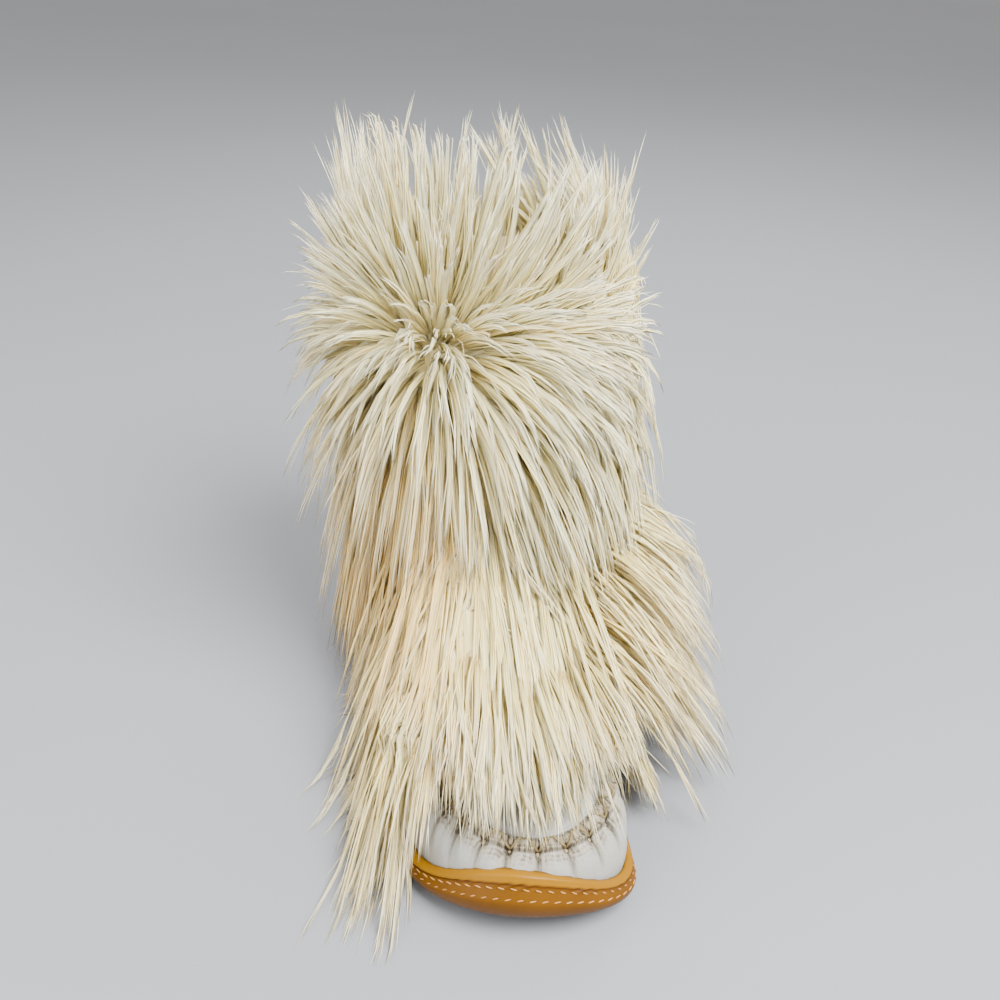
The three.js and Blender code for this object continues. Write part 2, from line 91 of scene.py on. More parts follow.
FUR_DEPTH = 18
FOOT_FUR_DEPTH = 24
HAIR_LENGTH = 90

# Stretches of the foot, as shares of its length from the heel, and how round its ends are.
WEDGE_SLOPE = (0.28, 0.66)
ARCH_STRETCH = (0.3, 0.4, 0.46, 0.56)
TOE_BEND = 0.76
TOE_BEND_POWER = 1.8
BUMPER_RISE = (0.78, 0.97)
SWING_SLOPE = (0.55, 1)
HEEL_POWER = 2
TOE_POWER = 2.2

# Half widths of the foot: share of the length from the heel, inner side, outer side.
FOOT_ALONG, FOOT_INNER, FOOT_OUTER = np.array([
    (0.00, 0.365, 0.365),
    (0.20, 0.365, 0.365),
    (0.42, 0.335, 0.375),
    (0.56, 0.385, 0.445),
    (0.70, 0.455, 0.520),
    (0.84, 0.470, 0.525),
    (1.00, 0.450, 0.470),
]).T

# Sections of the upper from its bottom edge to the collar, with the part's own columns.
SECTION_COLUMNS = (
    "front", "front_foot", "back", "back_foot", "shaft",
    "inner", "outer", "width", "round", "girth", "bed",
)
SECTIONS = np.array([
    (0.966, 0.106, 0.030, 0.155, 0.00, 0.12, 0.19, 0.90, 0.00, 1.00, 1.0),  # bottom edge
    (0.972, 0.185, 0.022, 0.235, 0.00, 0.12, 0.19, 0.91, 0.00, 1.00, 0.9),  # rim of the sole
    (0.968, 0.245, 0.018, 0.320, 0.00, 0.13, 0.20, 0.90, 0.00, 1.00, 0.5),  # wall
    (0.957, 0.290, 0.018, 0.410, 0.00, 0.14, 0.22, 0.85, 0.00, 1.00, 0.2),  # under the seam
    (0.940, 0.318, 0.022, 0.480, 0.00, 0.17, 0.27, 0.78, 0.00, 1.00, 0.0),  # puckered seam
    (0.905, 0.342, 0.028, 0.540, 0.00, 0.24, 0.33, 0.75, 0.00, 1.00, 0.0),  # edge of the plug
    (0.820, 0.405, 0.036, 0.610, 0.00, 0.32, 0.38, 0.76, 0.03, 1.00, 0.0),  # plug
    (0.730, 0.520, 0.042, 0.700, 0.00, 0.36, 0.38, 0.79, 0.08, 0.98, 0.0),  # tongue of the plug
    (0.640, 0.635, 0.047, 0.790, 0.00, 0.34, 0.35, 0.83, 0.22, 0.95, 0.0),  # waist of the vamp
    (0.555, 0.790, 0.046, 0.890, 0.00, 0.30, 0.30, 0.86, 0.50, 0.91, 0.0),  # instep
    (0.485, 1.000, 0.040, 1.000, 0.00, 0.26, 0.26, 0.90, 0.85, 0.90, 0.0),  # throat
    (0.450, 1.000, 0.030, 1.000, 0.25, 0.25, 0.25, 0.95, 1.00, 0.92, 0.0),  # ankle
    (0.450, 1.000, 0.010, 1.000, 0.62, 0.25, 0.25, 1.00, 1.00, 0.97, 0.0),  # middle of the shaft
    (0.450, 1.000, 0.000, 1.000, 1.00, 0.25, 0.25, 1.00, 1.00, 1.00, 0.0),  # collar
])
BOTTOM_EDGE = dict(zip(SECTION_COLUMNS, SECTIONS[0]))
TOP = len(SECTIONS) - 1
SEAM = 4


def mix(a, b, t):
    return a + (b - a) * t


def smooth(low, high, x):
    t = np.clip((x - low) / (high - low), 0, 1)
    return t * t * (3 - 2 * t)


def hump(x, centre, width):
    """A rounded bump of height 1 at the centre, which dies out within about twice the width."""
    return np.exp(-(((x - centre) / width) ** 2))


def band(x, start, full, fade, end):
    """0 up to start, 1 from full to fade and 0 again from end, with smooth slopes between."""
    return smooth(start, full, x) * (1 - smooth(fade, end, x))


def cubic(a, b, c, d, t):
    """The cubic through b and c whose slopes there are half of c - a and of d - b."""
    return b + 0.5 * ((c - a) * t + (2 * a - 5 * b + 4 * c - d) * t**2 + (3 * b - a - 3 * c + d) * t**3)


def section_at(place):
    """Each column of the section table, by a cubic through the rows at that place."""
    i = np.clip(np.floor(place).astype(int), 0, TOP - 1)
    t = (place - i)[..., None]
    near = [SECTIONS[np.clip(i + k, 0, TOP)] for k in (-1, 0, 1, 2)]
    return dict(zip(SECTION_COLUMNS, np.moveaxis(cubic(*near, t), -1, 0)))


def foot_half_width(along, inner):
    """The half width in plan, by a cubic through the width table on the side asked for."""
    last = len(FOOT_ALONG) - 1
    at = np.clip(along, 0, 1)
    i = np.clip(np.searchsorted(FOOT_ALONG, at) - 1, 0, last - 1)
    t = (at - FOOT_ALONG[i]) / (FOOT_ALONG[i + 1] - FOOT_ALONG[i])
    near = [np.clip(i + k, 0, last) for k in (-1, 0, 1, 2)]
    return BALL_WIDTH * cubic(*[np.where(inner, FOOT_INNER[k], FOOT_OUTER[k]) for k in near], t)


def round_end(share, power):
    return (1 - np.clip(share, 0, 1) ** power) ** (1 / power)


def toe_rise(along):
    return TOE_SPRING * np.clip((along - TOE_BEND) / (1 - TOE_BEND), 0, 1) ** TOE_BEND_POWER


def bed_height(along):
    wedge = mix(HEEL_THICKNESS, BALL_THICKNESS, smooth(*WEDGE_SLOPE, along))
    return wedge + toe_rise(along) * BED_TOE_SHARE


def bottom_height(along):
    return ARCH_RISE * band(along, *ARCH_STRETCH) + toe_rise(along)


def rim_height(along, phi):
    off = np.clip(np.abs(phi - TOE_LIP_CENTRE) / TOE_LIP_SPREAD, 0, 1)
    bump = np.cos(off * math.pi / 2) ** 2
    return bed_height(along) + LIP_RISE + TOE_LIP_RISE * bump * smooth(*BUMPER_RISE, along)


def outline_point(phi, front, back, inner_shoulder, outer_shoulder, width):
    """y runs by a cosine from back to front; x is the foot's half width, rounded at both ends."""
    y = mix(back, front, (1 - np.cos(phi)) / 2)
    along = (HEEL_OVERHANG - y) / SOLE_LENGTH
    inner = np.sin(phi) >= 0
    shoulder = np.where(inner, inner_shoulder, outer_shoulder) * SOLE_LENGTH
    heel = round_end(1 - (back - y) / HEEL_ROUND, HEEL_POWER)
    toe = round_end(1 - (y - front) / shoulder, TOE_POWER)
    half = foot_half_width(along, inner) * width * heel * toe
    return TOE_SWING * smooth(*SWING_SLOPE, along) + np.where(inner, half, -half), y, along


def upper_point(place, phi):
    """The foot's outline at that section, blended into the shaft's oval by the column round."""
    place, phi = np.broadcast_arrays(np.asarray(place, float), np.asarray(phi, float))
    row = section_at(place)
    reach = SHAFT_DEPTH / 2 * row["girth"]
    front = mix(HEEL_OVERHANG - row["front"] * SOLE_LENGTH, SHAFT_CENTRE_Y - reach, row["round"])
    back = mix(HEEL_OVERHANG - row["back"] * SOLE_LENGTH, SHAFT_CENTRE_Y + reach, row["round"])
    x, y, along = outline_point(phi, front, back, row["inner"], row["outer"], row["width"])
    oval = SHAFT_WIDTH / 2 * row["girth"] * np.sin(phi)
    ahead = (1 - np.cos(phi)) / 2
    above = row["shaft"] * (COLLAR_HEIGHT - INSTEP_HEIGHT)
    plane = INSTEP_HEIGHT * mix(row["back_foot"], row["front_foot"], ahead) + above
    edge = INSTEP_HEIGHT * mix(BOTTOM_EDGE["back_foot"], BOTTOM_EDGE["front_foot"], ahead)
    on_bed = bed_height(along) + CLEARANCE + plane - edge
    return np.stack([mix(x, oval, row["round"]), y, mix(plane, on_bed, row["bed"])], -1)


def unit(v):
    return v / np.maximum(np.linalg.norm(v, axis=-1, keepdims=True), 1e-9)


def upper_normal(place, phi):
    """The cross product of a short step up the sections and a short step round them."""
    place, phi = np.broadcast_arrays(np.asarray(place, float), np.asarray(phi, float))
    step = 0.02
    up = upper_point(np.clip(place + step, 0, TOP), phi) - upper_point(np.clip(place - step, 0, TOP), phi)
    around = upper_point(place, phi + step) - upper_point(place, phi - step)
    return unit(np.cross(up, around))


def offset_point(place, phi, distance):
    """A point that far off the upper's surface, along its normal; the distance may vary."""
    return upper_point(place, phi) + upper_normal(place, phi) * np.asarray(distance, float)[..., None]


def from_toe(phi):
    return np.abs(phi - math.pi)


# Meshes from grids of points.
def add_mesh(name, points, faces, material, attributes=None, face_slots=None, materials=()):
    """A mesh object at the origin from points in millimetres and a list of face index arrays."""
    mesh = bpy.data.meshes.new(name)
    sizes = np.concatenate([np.full(len(f), f.shape[1]) for f in faces])
    corners = np.concatenate([f.ravel() for f in faces]).astype(np.int32)
    mesh.vertices.add(len(points))
    mesh.vertices.foreach_set("co", (points * MM).astype(np.float32).ravel())
    mesh.loops.add(len(corners))
    mesh.loops.foreach_set("vertex_index", corners)
    mesh.polygons.add(len(sizes))
    mesh.polygons.foreach_set("loop_start", (np.cumsum(sizes) - sizes).astype(np.int32))
    mesh.polygons.foreach_set("loop_total", sizes.astype(np.int32))
    mesh.update()
    mesh.validate()
    mesh.shade_smooth()
    for key, values in (attributes or {}).items():
        layer = mesh.attributes.new(key, "FLOAT", "POINT")
        layer.data.foreach_set("value", np.asarray(values, np.float32).ravel())
    for one in (material, *materials):
        mesh.materials.append(one)
    if face_slots is not None:
        mesh.polygons.foreach_set("material_index", face_slots.astype(np.int32))
    piece = bpy.data.objects.new(name, mesh)
    bpy.context.scene.collection.objects.link(piece)
    return piece


def ring_faces(rows, count, joined=False):
    """Quads between stacked loops of count points, as a tube, or as a closed ring if joined."""
    spans = rows if joined else rows - 1
    low = (np.arange(spans) * count)[:, None]
    high = ((np.arange(spans) + 1) % rows * count)[:, None]
    here = np.arange(count)[None]
    after = (here + 1) % count
    return np.stack([low + here, high + here, high + after, low + after], -1).reshape(-1, 4)


def cap_faces(start, count, top):
    """Quads across a loop from each point to its mirror on the other side, triangles at its ends."""
    k = np.arange(1, count // 2 - 1)
    quads = np.stack([k, k + 1, count - k - 1, count - k], -1) + start
    middle = count // 2
    ends = np.array([[0, 1, count - 1], [middle, middle + 1, middle - 1]]) + start
    if top:
        quads = quads[:, ::-1]
        ends = ends[:, ::-1]
    return [quads, ends]


def whole_turn(half):
    """Angles from 0 to pi and their mirrors, so that point k faces point count - k."""
    return np.concatenate([half, TAU - half[-2:0:-1]])


def over_rows(values, rows, count, rest):
    """The values given for the first loops, and one value on all points of the loops after them."""
    filled = np.full((rows, count), float(rest))
    filled[:len(values)] = values
    return filled


def outward(points, faces):
    """The faces, turned round if the closed shape that they make has a negative volume."""
    volume = 0
    for f in faces:
        for k in range(1, f.shape[1] - 1):
            a, b, c = (points[f[:, i]] for i in (0, k, k + 1))
            volume += np.einsum("ij,ij->i", a, np.cross(b, c)).sum()
    return faces if volume > 0 else [f[:, ::-1] for f in faces]


def piece_from(name, loops, material, slot, replaced=(), joined=False, **more):
    """A closed piece from stacked loops, riding on the root body."""
    rows, count = loops.shape[:2]
    points = loops.reshape(-1, 3)
    faces = [ring_faces(rows, count, joined)]
    if not joined:
        faces += cap_faces(0, count, False) + cap_faces((rows - 1) * count, count, True)
    return finish_piece(add_mesh(name, points, outward(points, faces), material, **more), replaced)


def finish_piece(piece, replaced=()):
    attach(piece, "root")
    if replaced:
        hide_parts(*replaced)
    return piece


# Materials.
class Nodes:
    """A material's node tree, with a call for each kind of node that the finishes use."""

    def __init__(self, name):
        self.material = bpy.data.materials.new(name)
        self.material.use_nodes = True
        self.tree = self.material.node_tree
        self.shader = self.tree.nodes["Principled BSDF"]
        self.object = self.tree.nodes.new("ShaderNodeTexCoord").outputs["Object"]

    def node(self, kind, **values):
        made = self.tree.nodes.new(kind)
        for key, value in values.items():
            setattr(made, key, value)
        return made

    def join(self, source, target):
        self.tree.links.new(source, target)

    def fill(self, socket, value):
        if isinstance(value, bpy.types.NodeSocket):
            self.join(value, socket)
        else:
            socket.default_value = value

    def noise(self, scale, detail=3, roughness=0.5, vector=None):
        made = self.node("ShaderNodeTexNoise")
        made.inputs["Scale"].default_value = scale
        made.inputs["Detail"].default_value = detail
        made.inputs["Roughness"].default_value = roughness
        self.join(vector or self.object, made.inputs["Vector"])
        return made.outputs["Fac"]

    def cells(self, scale):
        made = self.node("ShaderNodeTexVoronoi")
        made.inputs["Scale"].default_value = scale
        self.join(self.object, made.inputs["Vector"])
        return made.outputs["Distance"]

    def attribute(self, name):
        return self.node("ShaderNodeAttribute", attribute_name=name).outputs["Fac"]

    def math(self, operation, a, b=0.0, clamp=False):
        made = self.node("ShaderNodeMath", operation=operation, use_clamp=clamp)
        self.fill(made.inputs[0], a)
        self.fill(made.inputs[1], b)
        return made.outputs[0]

    def ramp(self, factor, low, high):
        made = self.node("ShaderNodeMapRange", clamp=True)
        self.join(factor, made.inputs["Value"])
        made.inputs["From Min"].default_value = low
        made.inputs["From Max"].default_value = high
        return made.outputs["Result"]

    def blend(self, factor, a, b):
        made = self.node("ShaderNodeMix", data_type="RGBA")
        self.fill(made.inputs["Factor"], factor)
        self.fill(made.inputs["A"], a)
        self.fill(made.inputs["B"], b)
        return made.outputs["Result"]

    def bump(self, height, strength, distance, below=None):
        made = self.node("ShaderNodeBump")
        made.inputs["Strength"].default_value = strength
        made.inputs["Distance"].default_value = distance
        self.join(height, made.inputs["Height"])
        if below:
            self.join(below, made.inputs["Normal"])
        return made.outputs["Normal"]

    def set(self, **values):
        for key, value in values.items():
            self.fill(self.shader.inputs[key.replace("_", " ").title()], value)
        return self.material


def srgb(red, green, blue):
    """A colour as it is seen, from 0 to 255, as linear light with full alpha."""
    shares = np.array([red, green, blue]) / 255
    linear = np.where(shares < 0.04045, shares / 12.92, ((shares + 0.055) / 1.055) ** 2.4)
    return (*linear.tolist(), 1.0)


def leather_finish():
    n = Nodes("white_leather")
    # The seam's mask: browner along the seam and just under it, with painted shade in its pinches and
    # creases.
    seam = n.attribute("seam_tint_and_shade")
    across = n.node("ShaderNodeCombineXYZ")
    n.fill(across.inputs[0], n.attribute("walk"))
    n.fill(across.inputs[1], n.attribute("place"))
    folds = n.noise(0.75, 5, 0.68, across.outputs[0])
    grime = n.ramp(n.noise(0.14 / MM, 4, 0.6), 0.45, 0.75)
    clean = n.blend(n.noise(0.03 / MM, 2), srgb(138, 144, 142), srgb(160, 155, 146))
    soiled = n.blend(n.math("MULTIPLY", grime, 0.25), clean, srgb(160, 146, 128))
    # Browner along the seam, with painted shade in the pinched valleys and creases.
    gathered = n.blend(n.math("MULTIPLY", seam, 1.1, True), soiled, srgb(158, 144, 116))
    # Painted shade in the fold creases of the seam, drawn as lines by the fold noise.
    fold_shade = n.math("MULTIPLY", n.ramp(folds, 0.53, 0.42), seam)
    fold_shaded = n.blend(n.math("MULTIPLY", fold_shade, 1.5, True), gathered, srgb(66, 56, 40))
    # Painted shade in the stitch holes, the wedges under them and the creases between the lobes.
    hole_shaded = n.blend(n.attribute("hole"), fold_shaded, srgb(36, 28, 18))
    surface = n.bump(n.noise(0.35 / MM, 4, 0.65), 0.35, 0.6 * MM)
    surface = n.bump(n.cells(1.1 / MM), 0.25, 0.25 * MM, surface)
    surface = n.bump(n.math("MULTIPLY", folds, seam), 1.0, 2.2 * MM, surface)
    rough = n.math("ADD", n.math("MULTIPLY", n.noise(0.2 / MM), 0.2), 0.42)
    return n.set(base_color=hole_shaded, roughness=rough, normal=surface)


def shaded_lining_finish():
    n = Nodes("shaded_lining")
    # This colour is darkened as painted shade for the inside of the boot.
    base = n.blend(n.noise(0.08 / MM, 3), srgb(140, 122, 88), srgb(166, 148, 112))
    surface = n.bump(n.noise(1.6 / MM, 4, 0.7), 0.6, 0.5 * MM)
    return n.set(base_color=base, roughness=0.95, normal=surface)


def felt_finish():
    n = Nodes("felt")
    base = n.blend(n.noise(0.1 / MM, 4), srgb(186, 172, 146), srgb(206, 194, 170))
    surface = n.bump(n.noise(1.2 / MM, 5, 0.75), 0.7, 0.6 * MM)
    return n.set(base_color=base, roughness=0.97, normal=surface)


def rubber_finish():
    n = Nodes("gum_rubber")
    rim = n.attribute("rim")
    cloud = n.noise(0.05 / MM, 3)
    # The body's darker amber is painted shade for the sole's face that turns down from the light; the rim
    # and the top keep a lighter amber.
    body = n.blend(cloud, srgb(80, 48, 0), srgb(98, 60, 0))
    base = n.blend(rim, body, srgb(124, 84, 0))
    speck = n.ramp(n.noise(0.5 / MM, 5, 0.7), 0.6, 0.8)
    # Painted shade in the recess under the rim and in the troughs of the slanting folds.
    slit_shaded = n.blend(n.math("MULTIPLY", n.attribute("slit_shade"), 0.8, True), base, srgb(54, 24, 0))
    dirty = n.blend(n.math("MULTIPLY", speck, 0.3), slit_shaded, srgb(110, 62, 14))
    surface = n.bump(n.noise(0.4 / MM, 4, 0.6), 0.25, 0.4 * MM)
    rough = n.math("ADD", n.math("MULTIPLY", n.noise(0.3 / MM), 0.2), 0.3)
    n.shader.inputs["Specular IOR Level"].default_value = 0.15
    return n.set(base_color=dirty, roughness=rough, normal=surface)


def thread_finish(name, dark, light):
    n = Nodes(name)
    base = n.blend(n.noise(0.6 / MM, 3), dark, light)
    surface = n.bump(n.noise(2.2 / MM, 3), 0.5, 0.2 * MM)
    return n.set(base_color=base, roughness=0.7, normal=surface)


def hair_finish(name, root, middle, tip, warm, shade, streaked):
    """Cream hair: darker at the root, paler at the tip, with warm locks and painted shade on the deeper
    ones. A streaked one has hairs drawn along it as colour and relief, by noise stretched along the lock,
    with painted shade in its darker streaks."""
    n = Nodes(name)
    along = n.attribute("along")
    shade_and_tone = n.attribute("shade_and_tone")
    low = n.blend(n.ramp(along, 0.0, 0.35), root, middle)
    pale = n.blend(n.ramp(along, 0.3, 0.95), low, tip)
    warmed = n.blend(n.math("MULTIPLY", n.attribute("warm"), 0.8, True), pale, warm)
    # Painted shade: deeper locks blend towards the olive shade colour.
    depth_shaded = n.blend(n.ramp(shade_and_tone, 0.35, 1.1), warmed, shade)
    n.shader.inputs["Specular IOR Level"].default_value = 0.4
    if not streaked:
        return n.set(base_color=depth_shaded, roughness=0.45)
    vector = n.node("ShaderNodeCombineXYZ")
    n.fill(vector.inputs[0], n.math("MULTIPLY", n.attribute("across"), 2.4))
    n.fill(vector.inputs[1], n.math("MULTIPLY", along, 1.6))
    n.fill(vector.inputs[2], n.attribute("lock"))
    streak = n.noise(1.6, 6, 0.72, vector.outputs[0])
    # Painted shade in the darker streaks between the hairs; the lighter streaks are paler hairs.
    dark = n.blend(n.math("MULTIPLY", n.ramp(streak, 0.50, 0.40), 0.9), depth_shaded, shade)
    light = n.blend(n.math("MULTIPLY", n.ramp(streak, 0.52, 0.62), 0.85), dark, tip)
    n.shader.inputs["Subsurface Weight"].default_value = 0.2
    n.shader.inputs["Subsurface Radius"].default_value = (1.0, 0.9, 0.7)
    n.shader.inputs["Subsurface Scale"].default_value = 3 * MM
    surface = n.bump(streak, 1.0, 2.0 * MM)
    return n.set(base_color=light, roughness=0.5, normal=surface)


LEATHER = leather_finish()
SHADED_LINING = shaded_lining_finish()
FELT = felt_finish()
RUBBER = rubber_finish()
SEAM_THREAD = thread_finish("seam_thread", srgb(104, 90, 52), srgb(136, 118, 76))
SOLE_THREAD = thread_finish("sole_thread", srgb(150, 98, 42), srgb(178, 128, 70))
CREAM = srgb(253, 240, 164)
PALE_TIP = srgb(255, 252, 220)
GOLD = srgb(250, 196, 100)
OLIVE_SHADE = srgb(222, 196, 116)
HAIR = hair_finish("goat_hair", srgb(240, 224, 168), CREAM, PALE_TIP, GOLD, OLIVE_SHADE, False)
LOCK_HAIR = hair_finish("lock_hair", srgb(236, 218, 158), CREAM, PALE_TIP, GOLD, OLIVE_SHADE, True)
# The undercoat's colours are darker than the locks' as painted shade deep in the fur.
UNDERCOAT = hair_finish(
    "undercoat", srgb(212, 196, 134), srgb(220, 206, 146), srgb(226, 214, 160), GOLD, OLIVE_SHADE, True,
)


# Sole. The outer face from the bottom up: share of the height, inset, and how much of the toe's
# roll each line has.
FACE_SHARES, FACE_INSETS, FACE_ROLLS = np.array([
    (0.000, 5.00, 1.000),
    (0.030, 3.40, 0.780),
    (0.070, 2.40, 0.590),
    (0.120, 1.60, 0.420),
    (0.190, 0.85, 0.240),
    (0.270, 0.40, 0.120),
    (0.360, 0.10, 0.050),
    (0.440, 0.00, 0.015),
    (0.500, 0.00, 0.000),
    (0.560, 0.00, 0.000),
    (0.610, 0.00, 0.010),
    (0.640, 0.35, 0.040),
    (0.670, 0.45, 0.070),
    (0.700, 0.20, 0.100),
    (0.740, 0.10, 0.140),
    (0.780, 0.20, 0.180),
    (0.800, 0.55, 0.200),
    (0.820, 0.60, 0.215),
    (0.835, 0.55, 0.230),
    (0.850, 1.70, 0.245),
    (0.870, 2.60, 0.260),
    (0.885, 2.30, 0.275),
    (0.900, 0.70, 0.290),
    (0.920, 0.05, 0.310),
    (0.960, 0.30, 0.350),
    (0.985, 0.80, 0.370),
    (1.000, 1.50, 0.390),
]).T
SOLE_SHOULDERS = (0.13, 0.2)
SOLE_ANGLES = 240
SOLE_WIDEST_ROW = 8
TREAD_FIELDS = ((0.04, 0.3), (0.58, 0.9))
TREAD_SHARE = 0.12
GROOVE_EDGES = np.array([-0.55, -0.45, 0.45, 0.55])
CUP_LEVELS = (1, 0.66, 0.33, 0)
RIM_SHARES = (0.87, 0.92)

# Relief round the sole: the share of the height where it lies and how far it spreads, its pitch and its
# depth; for the recess under the rim, the share and spread of its painted shade.
FOLD_SHARE, FOLD_SPREAD, FOLD_PITCH, FOLD_DEPTH = 0.85, 0.045, 6.5, 0.55
TEETH_SHARE, TEETH_SPREAD, TEETH_PITCH, TEETH_DEPTH = 0.14, 0.05, 3.5, 0.45
SLIT_SHARE, SLIT_SPREAD = 0.87, 0.018


def groove_centres():
    found = []
    for start, end in TREAD_FIELDS:
        count = int((end - start) * SOLE_LENGTH / TREAD_PITCH)
        found.append(HEEL_OVERHANG - start * SOLE_LENGTH - (np.arange(count) + 0.5) * TREAD_PITCH)
    return np.concatenate(found)


def sole_outline(phi):
    return outline_point(phi, HEEL_OVERHANG - SOLE_LENGTH, HEEL_OVERHANG, *SOLE_SHOULDERS, 1)


def sole_point(share, inset, toe, phi):
    """The plan outline moved inwards by the inset, at a share of the height from bottom to rim."""
    x, y, along = sole_outline(phi)
    x2, y2, _ = sole_outline(phi + 0.01)
    inward = unit(np.stack([y2 - y, x - x2], -1))
    toe_inset = np.where(share < 0.5, TOE_UNDERCUT * toe, TOE_SETBACK * toe / TOE_ROLL_AT_RIM)
    inset = mix(inset, np.maximum(inset, toe_inset), smooth(0.8, 1, along))
    z = mix(bottom_height(along), rim_height(along, phi), share)
    return np.stack([x + inward[..., 0] * inset, y + inward[..., 1] * inset, z], -1)


def arc_length(points):
    """The length walked along a line of points up to each of them."""
    steps = np.linalg.norm(np.diff(points, axis=0), axis=-1)
    return np.concatenate([[0], np.cumsum(steps)])


def sole_angles(centres):
    """Even angles from heel to toe, with four more at the edges of each groove, and their mirrors."""
    edges = (centres[:, None] + GROOVE_EDGES * TREAD_GAP).ravel()
    beside = np.arccos(np.clip(1 - 2 * (HEEL_OVERHANG - edges) / SOLE_LENGTH, -1, 1))
    half = np.unique(np.concatenate([np.linspace(0, math.pi, SOLE_ANGLES), beside]).round(5))
    half[-1] = math.pi
    return whole_turn(half)


def cup_loops(rim, phi):
    """The inside of the cup, from the rim down beside the upper's wall to the footbed."""
    place = places_at_height(phi, rim[:, 2] - 0.4)
    inside = np.stack([offset_point(place * level, phi, CLEARANCE) for level in CUP_LEVELS])
    inside[-1, :, 2] = bed_height((HEEL_OVERHANG - inside[-1, :, 1]) / SOLE_LENGTH)
    return inside


def make_outsole():
    """Loops of the outer face, the top of the rim and the inside of the cup, closed across. The face
    has grooves under it, slanting folds in the rim over the toe, and fine teeth along its edge."""
    centres = groove_centres()
    phi = sole_angles(centres)
    share, inset, toe = (column[:, None] for column in (FACE_SHARES, FACE_INSETS, FACE_ROLLS))
    face = sole_point(share, inset, toe, phi[None])
    y = sole_outline(phi)[1]
    in_groove = np.abs(y[:, None] - centres).min(1) < TREAD_GAP / 2 + 0.01
    face[..., 2] += in_groove * TREAD_DEPTH * np.clip(1 - share / TREAD_SHARE, 0, 1)
    walked = arc_length(face[SOLE_WIDEST_ROW])[None]
    slant = np.sin(TAU * (walked / FOLD_PITCH + share * 9)) * (0.55 + 0.45 * np.sin(walked * 0.21))
    fold = hump(share, FOLD_SHARE, FOLD_SPREAD) * smooth(0.6, 0.8, (HEEL_OVERHANG - y) / SOLE_LENGTH)
    teeth = hump(share, TEETH_SHARE, TEETH_SPREAD) * np.sin(TAU * walked / TEETH_PITCH)
    out = unit(face - face.mean(1, keepdims=True)) * LEVEL
    face += out * (FOLD_DEPTH * fold * slant + TEETH_DEPTH * teeth)[..., None]
    inside = cup_loops(face[-1], phi)
    top = mix(face[-1], inside[0], 0.5)
    top[:, 2] = np.maximum(face[-1, :, 2], inside[0, :, 2]) + 0.05
    loops = np.concatenate([face, top[None], inside])
    # Painted shade in the recess under the rim and in the troughs of the slanting folds.
    slit_shade = hump(share, SLIT_SHARE, SLIT_SPREAD) + 0.35 * fold * np.clip(-slant, 0, 1)
    rows, count = loops.shape[:2]
    attributes = {
        "rim": over_rows(smooth(*RIM_SHARES, share), rows, count, 1),
        "slit_shade": over_rows(slit_shade, rows, count, 0),
    }
    piece_from("sole", loops, RUBBER, "outsole", ("outsole",), attributes=attributes)


def places_at_height(phi, height):
    """The place on the upper's wall, between the first rows, that stands at each height."""
    places = np.linspace(0, 3, 61)
    z = upper_point(places[:, None], phi[None])[..., 2]
    nearest = np.abs(z - height[None]).argmin(0)
    return places[nearest]


STITCH_SIZE = np.array([3.2, 0.6, 0.68])
STITCH_PITCH = 5.2
STITCH_PROUD = 0.15
STITCH_ROWS = ((0.81, 0.3), (0.655, -0.35))  # share of the height and slant of each row


def bead(around=8, rings=5):
    """A unit ball as rings between two poles, with its faces."""
    angle = np.arange(around) * TAU / around
    tilt = np.arange(1, rings + 1) * math.pi / (rings + 1)
    ring = np.stack([
        np.repeat(np.cos(tilt)[:, None], around, 1),
        np.sin(tilt)[:, None] * np.cos(angle),
        np.sin(tilt)[:, None] * np.sin(angle),
    ], -1).reshape(-1, 3)
    points = np.concatenate([ring, [[1, 0, 0], [-1, 0, 0]]])
    here = np.arange(around)
    after = (here + 1) % around
    last = (rings - 1) * around
    first_pole = np.stack([np.full(around, len(ring)), here, after], -1)
    last_pole = np.stack([np.full(around, len(ring) + 1), last + after, last + here], -1)
    return points, [ring_faces(rings, around)[:, ::-1], first_pole, last_pole]


def copies(template, centres, axes, scales):
    """The template at every centre, along the three axes there, joined into one set of points."""
    points, faces = template
    placed = np.einsum("vi,nij->nvj", points * scales, axes) + centres[:, None]
    steps = (np.arange(len(centres)) * len(points))[:, None, None]
    return placed.reshape(-1, 3), [(f[None] + steps).reshape(-1, f.shape[1]) for f in faces]


def make_sole_stitches():
    """Small capsules along two lines of the sole's face, each slanted to the line."""
    phi = np.linspace(0, TAU, 3000)
    template = bead()
    all_points, all_faces, start = [], [], 0
    for share, slant in STITCH_ROWS:
        inset = np.interp(share, FACE_SHARES, FACE_INSETS)
        toe = np.interp(share, FACE_SHARES, FACE_ROLLS)
        line = sole_point(share, inset, toe, phi)
        walked = arc_length(line)
        count = int(walked[-1] / STITCH_PITCH)
        at = np.interp((np.arange(count) + 0.5) * walked[-1] / count, walked, phi)
        centre = sole_point(share, inset, toe, at)
        ahead = unit(sole_point(share, inset, toe, at + 0.01) - centre)
        up = sole_point(share + 0.03, inset, toe, at) - centre
        out = unit(np.cross(up, ahead))
        up = np.cross(ahead, out)
        turned = unit(ahead + slant * up)
        axes = np.stack([turned, out, np.cross(turned, out)], 1)
        points, faces = copies(template, centre + out * STITCH_PROUD, axes, STITCH_SIZE / 2)
        all_points.append(points)
        all_faces.append([f + start for f in faces])
        start += len(points)
    points = np.concatenate(all_points)
    faces = [np.concatenate(group) for group in zip(*all_faces)]
    finish_piece(add_mesh("sole_stitches", points, outward(points, faces), SOLE_THREAD))


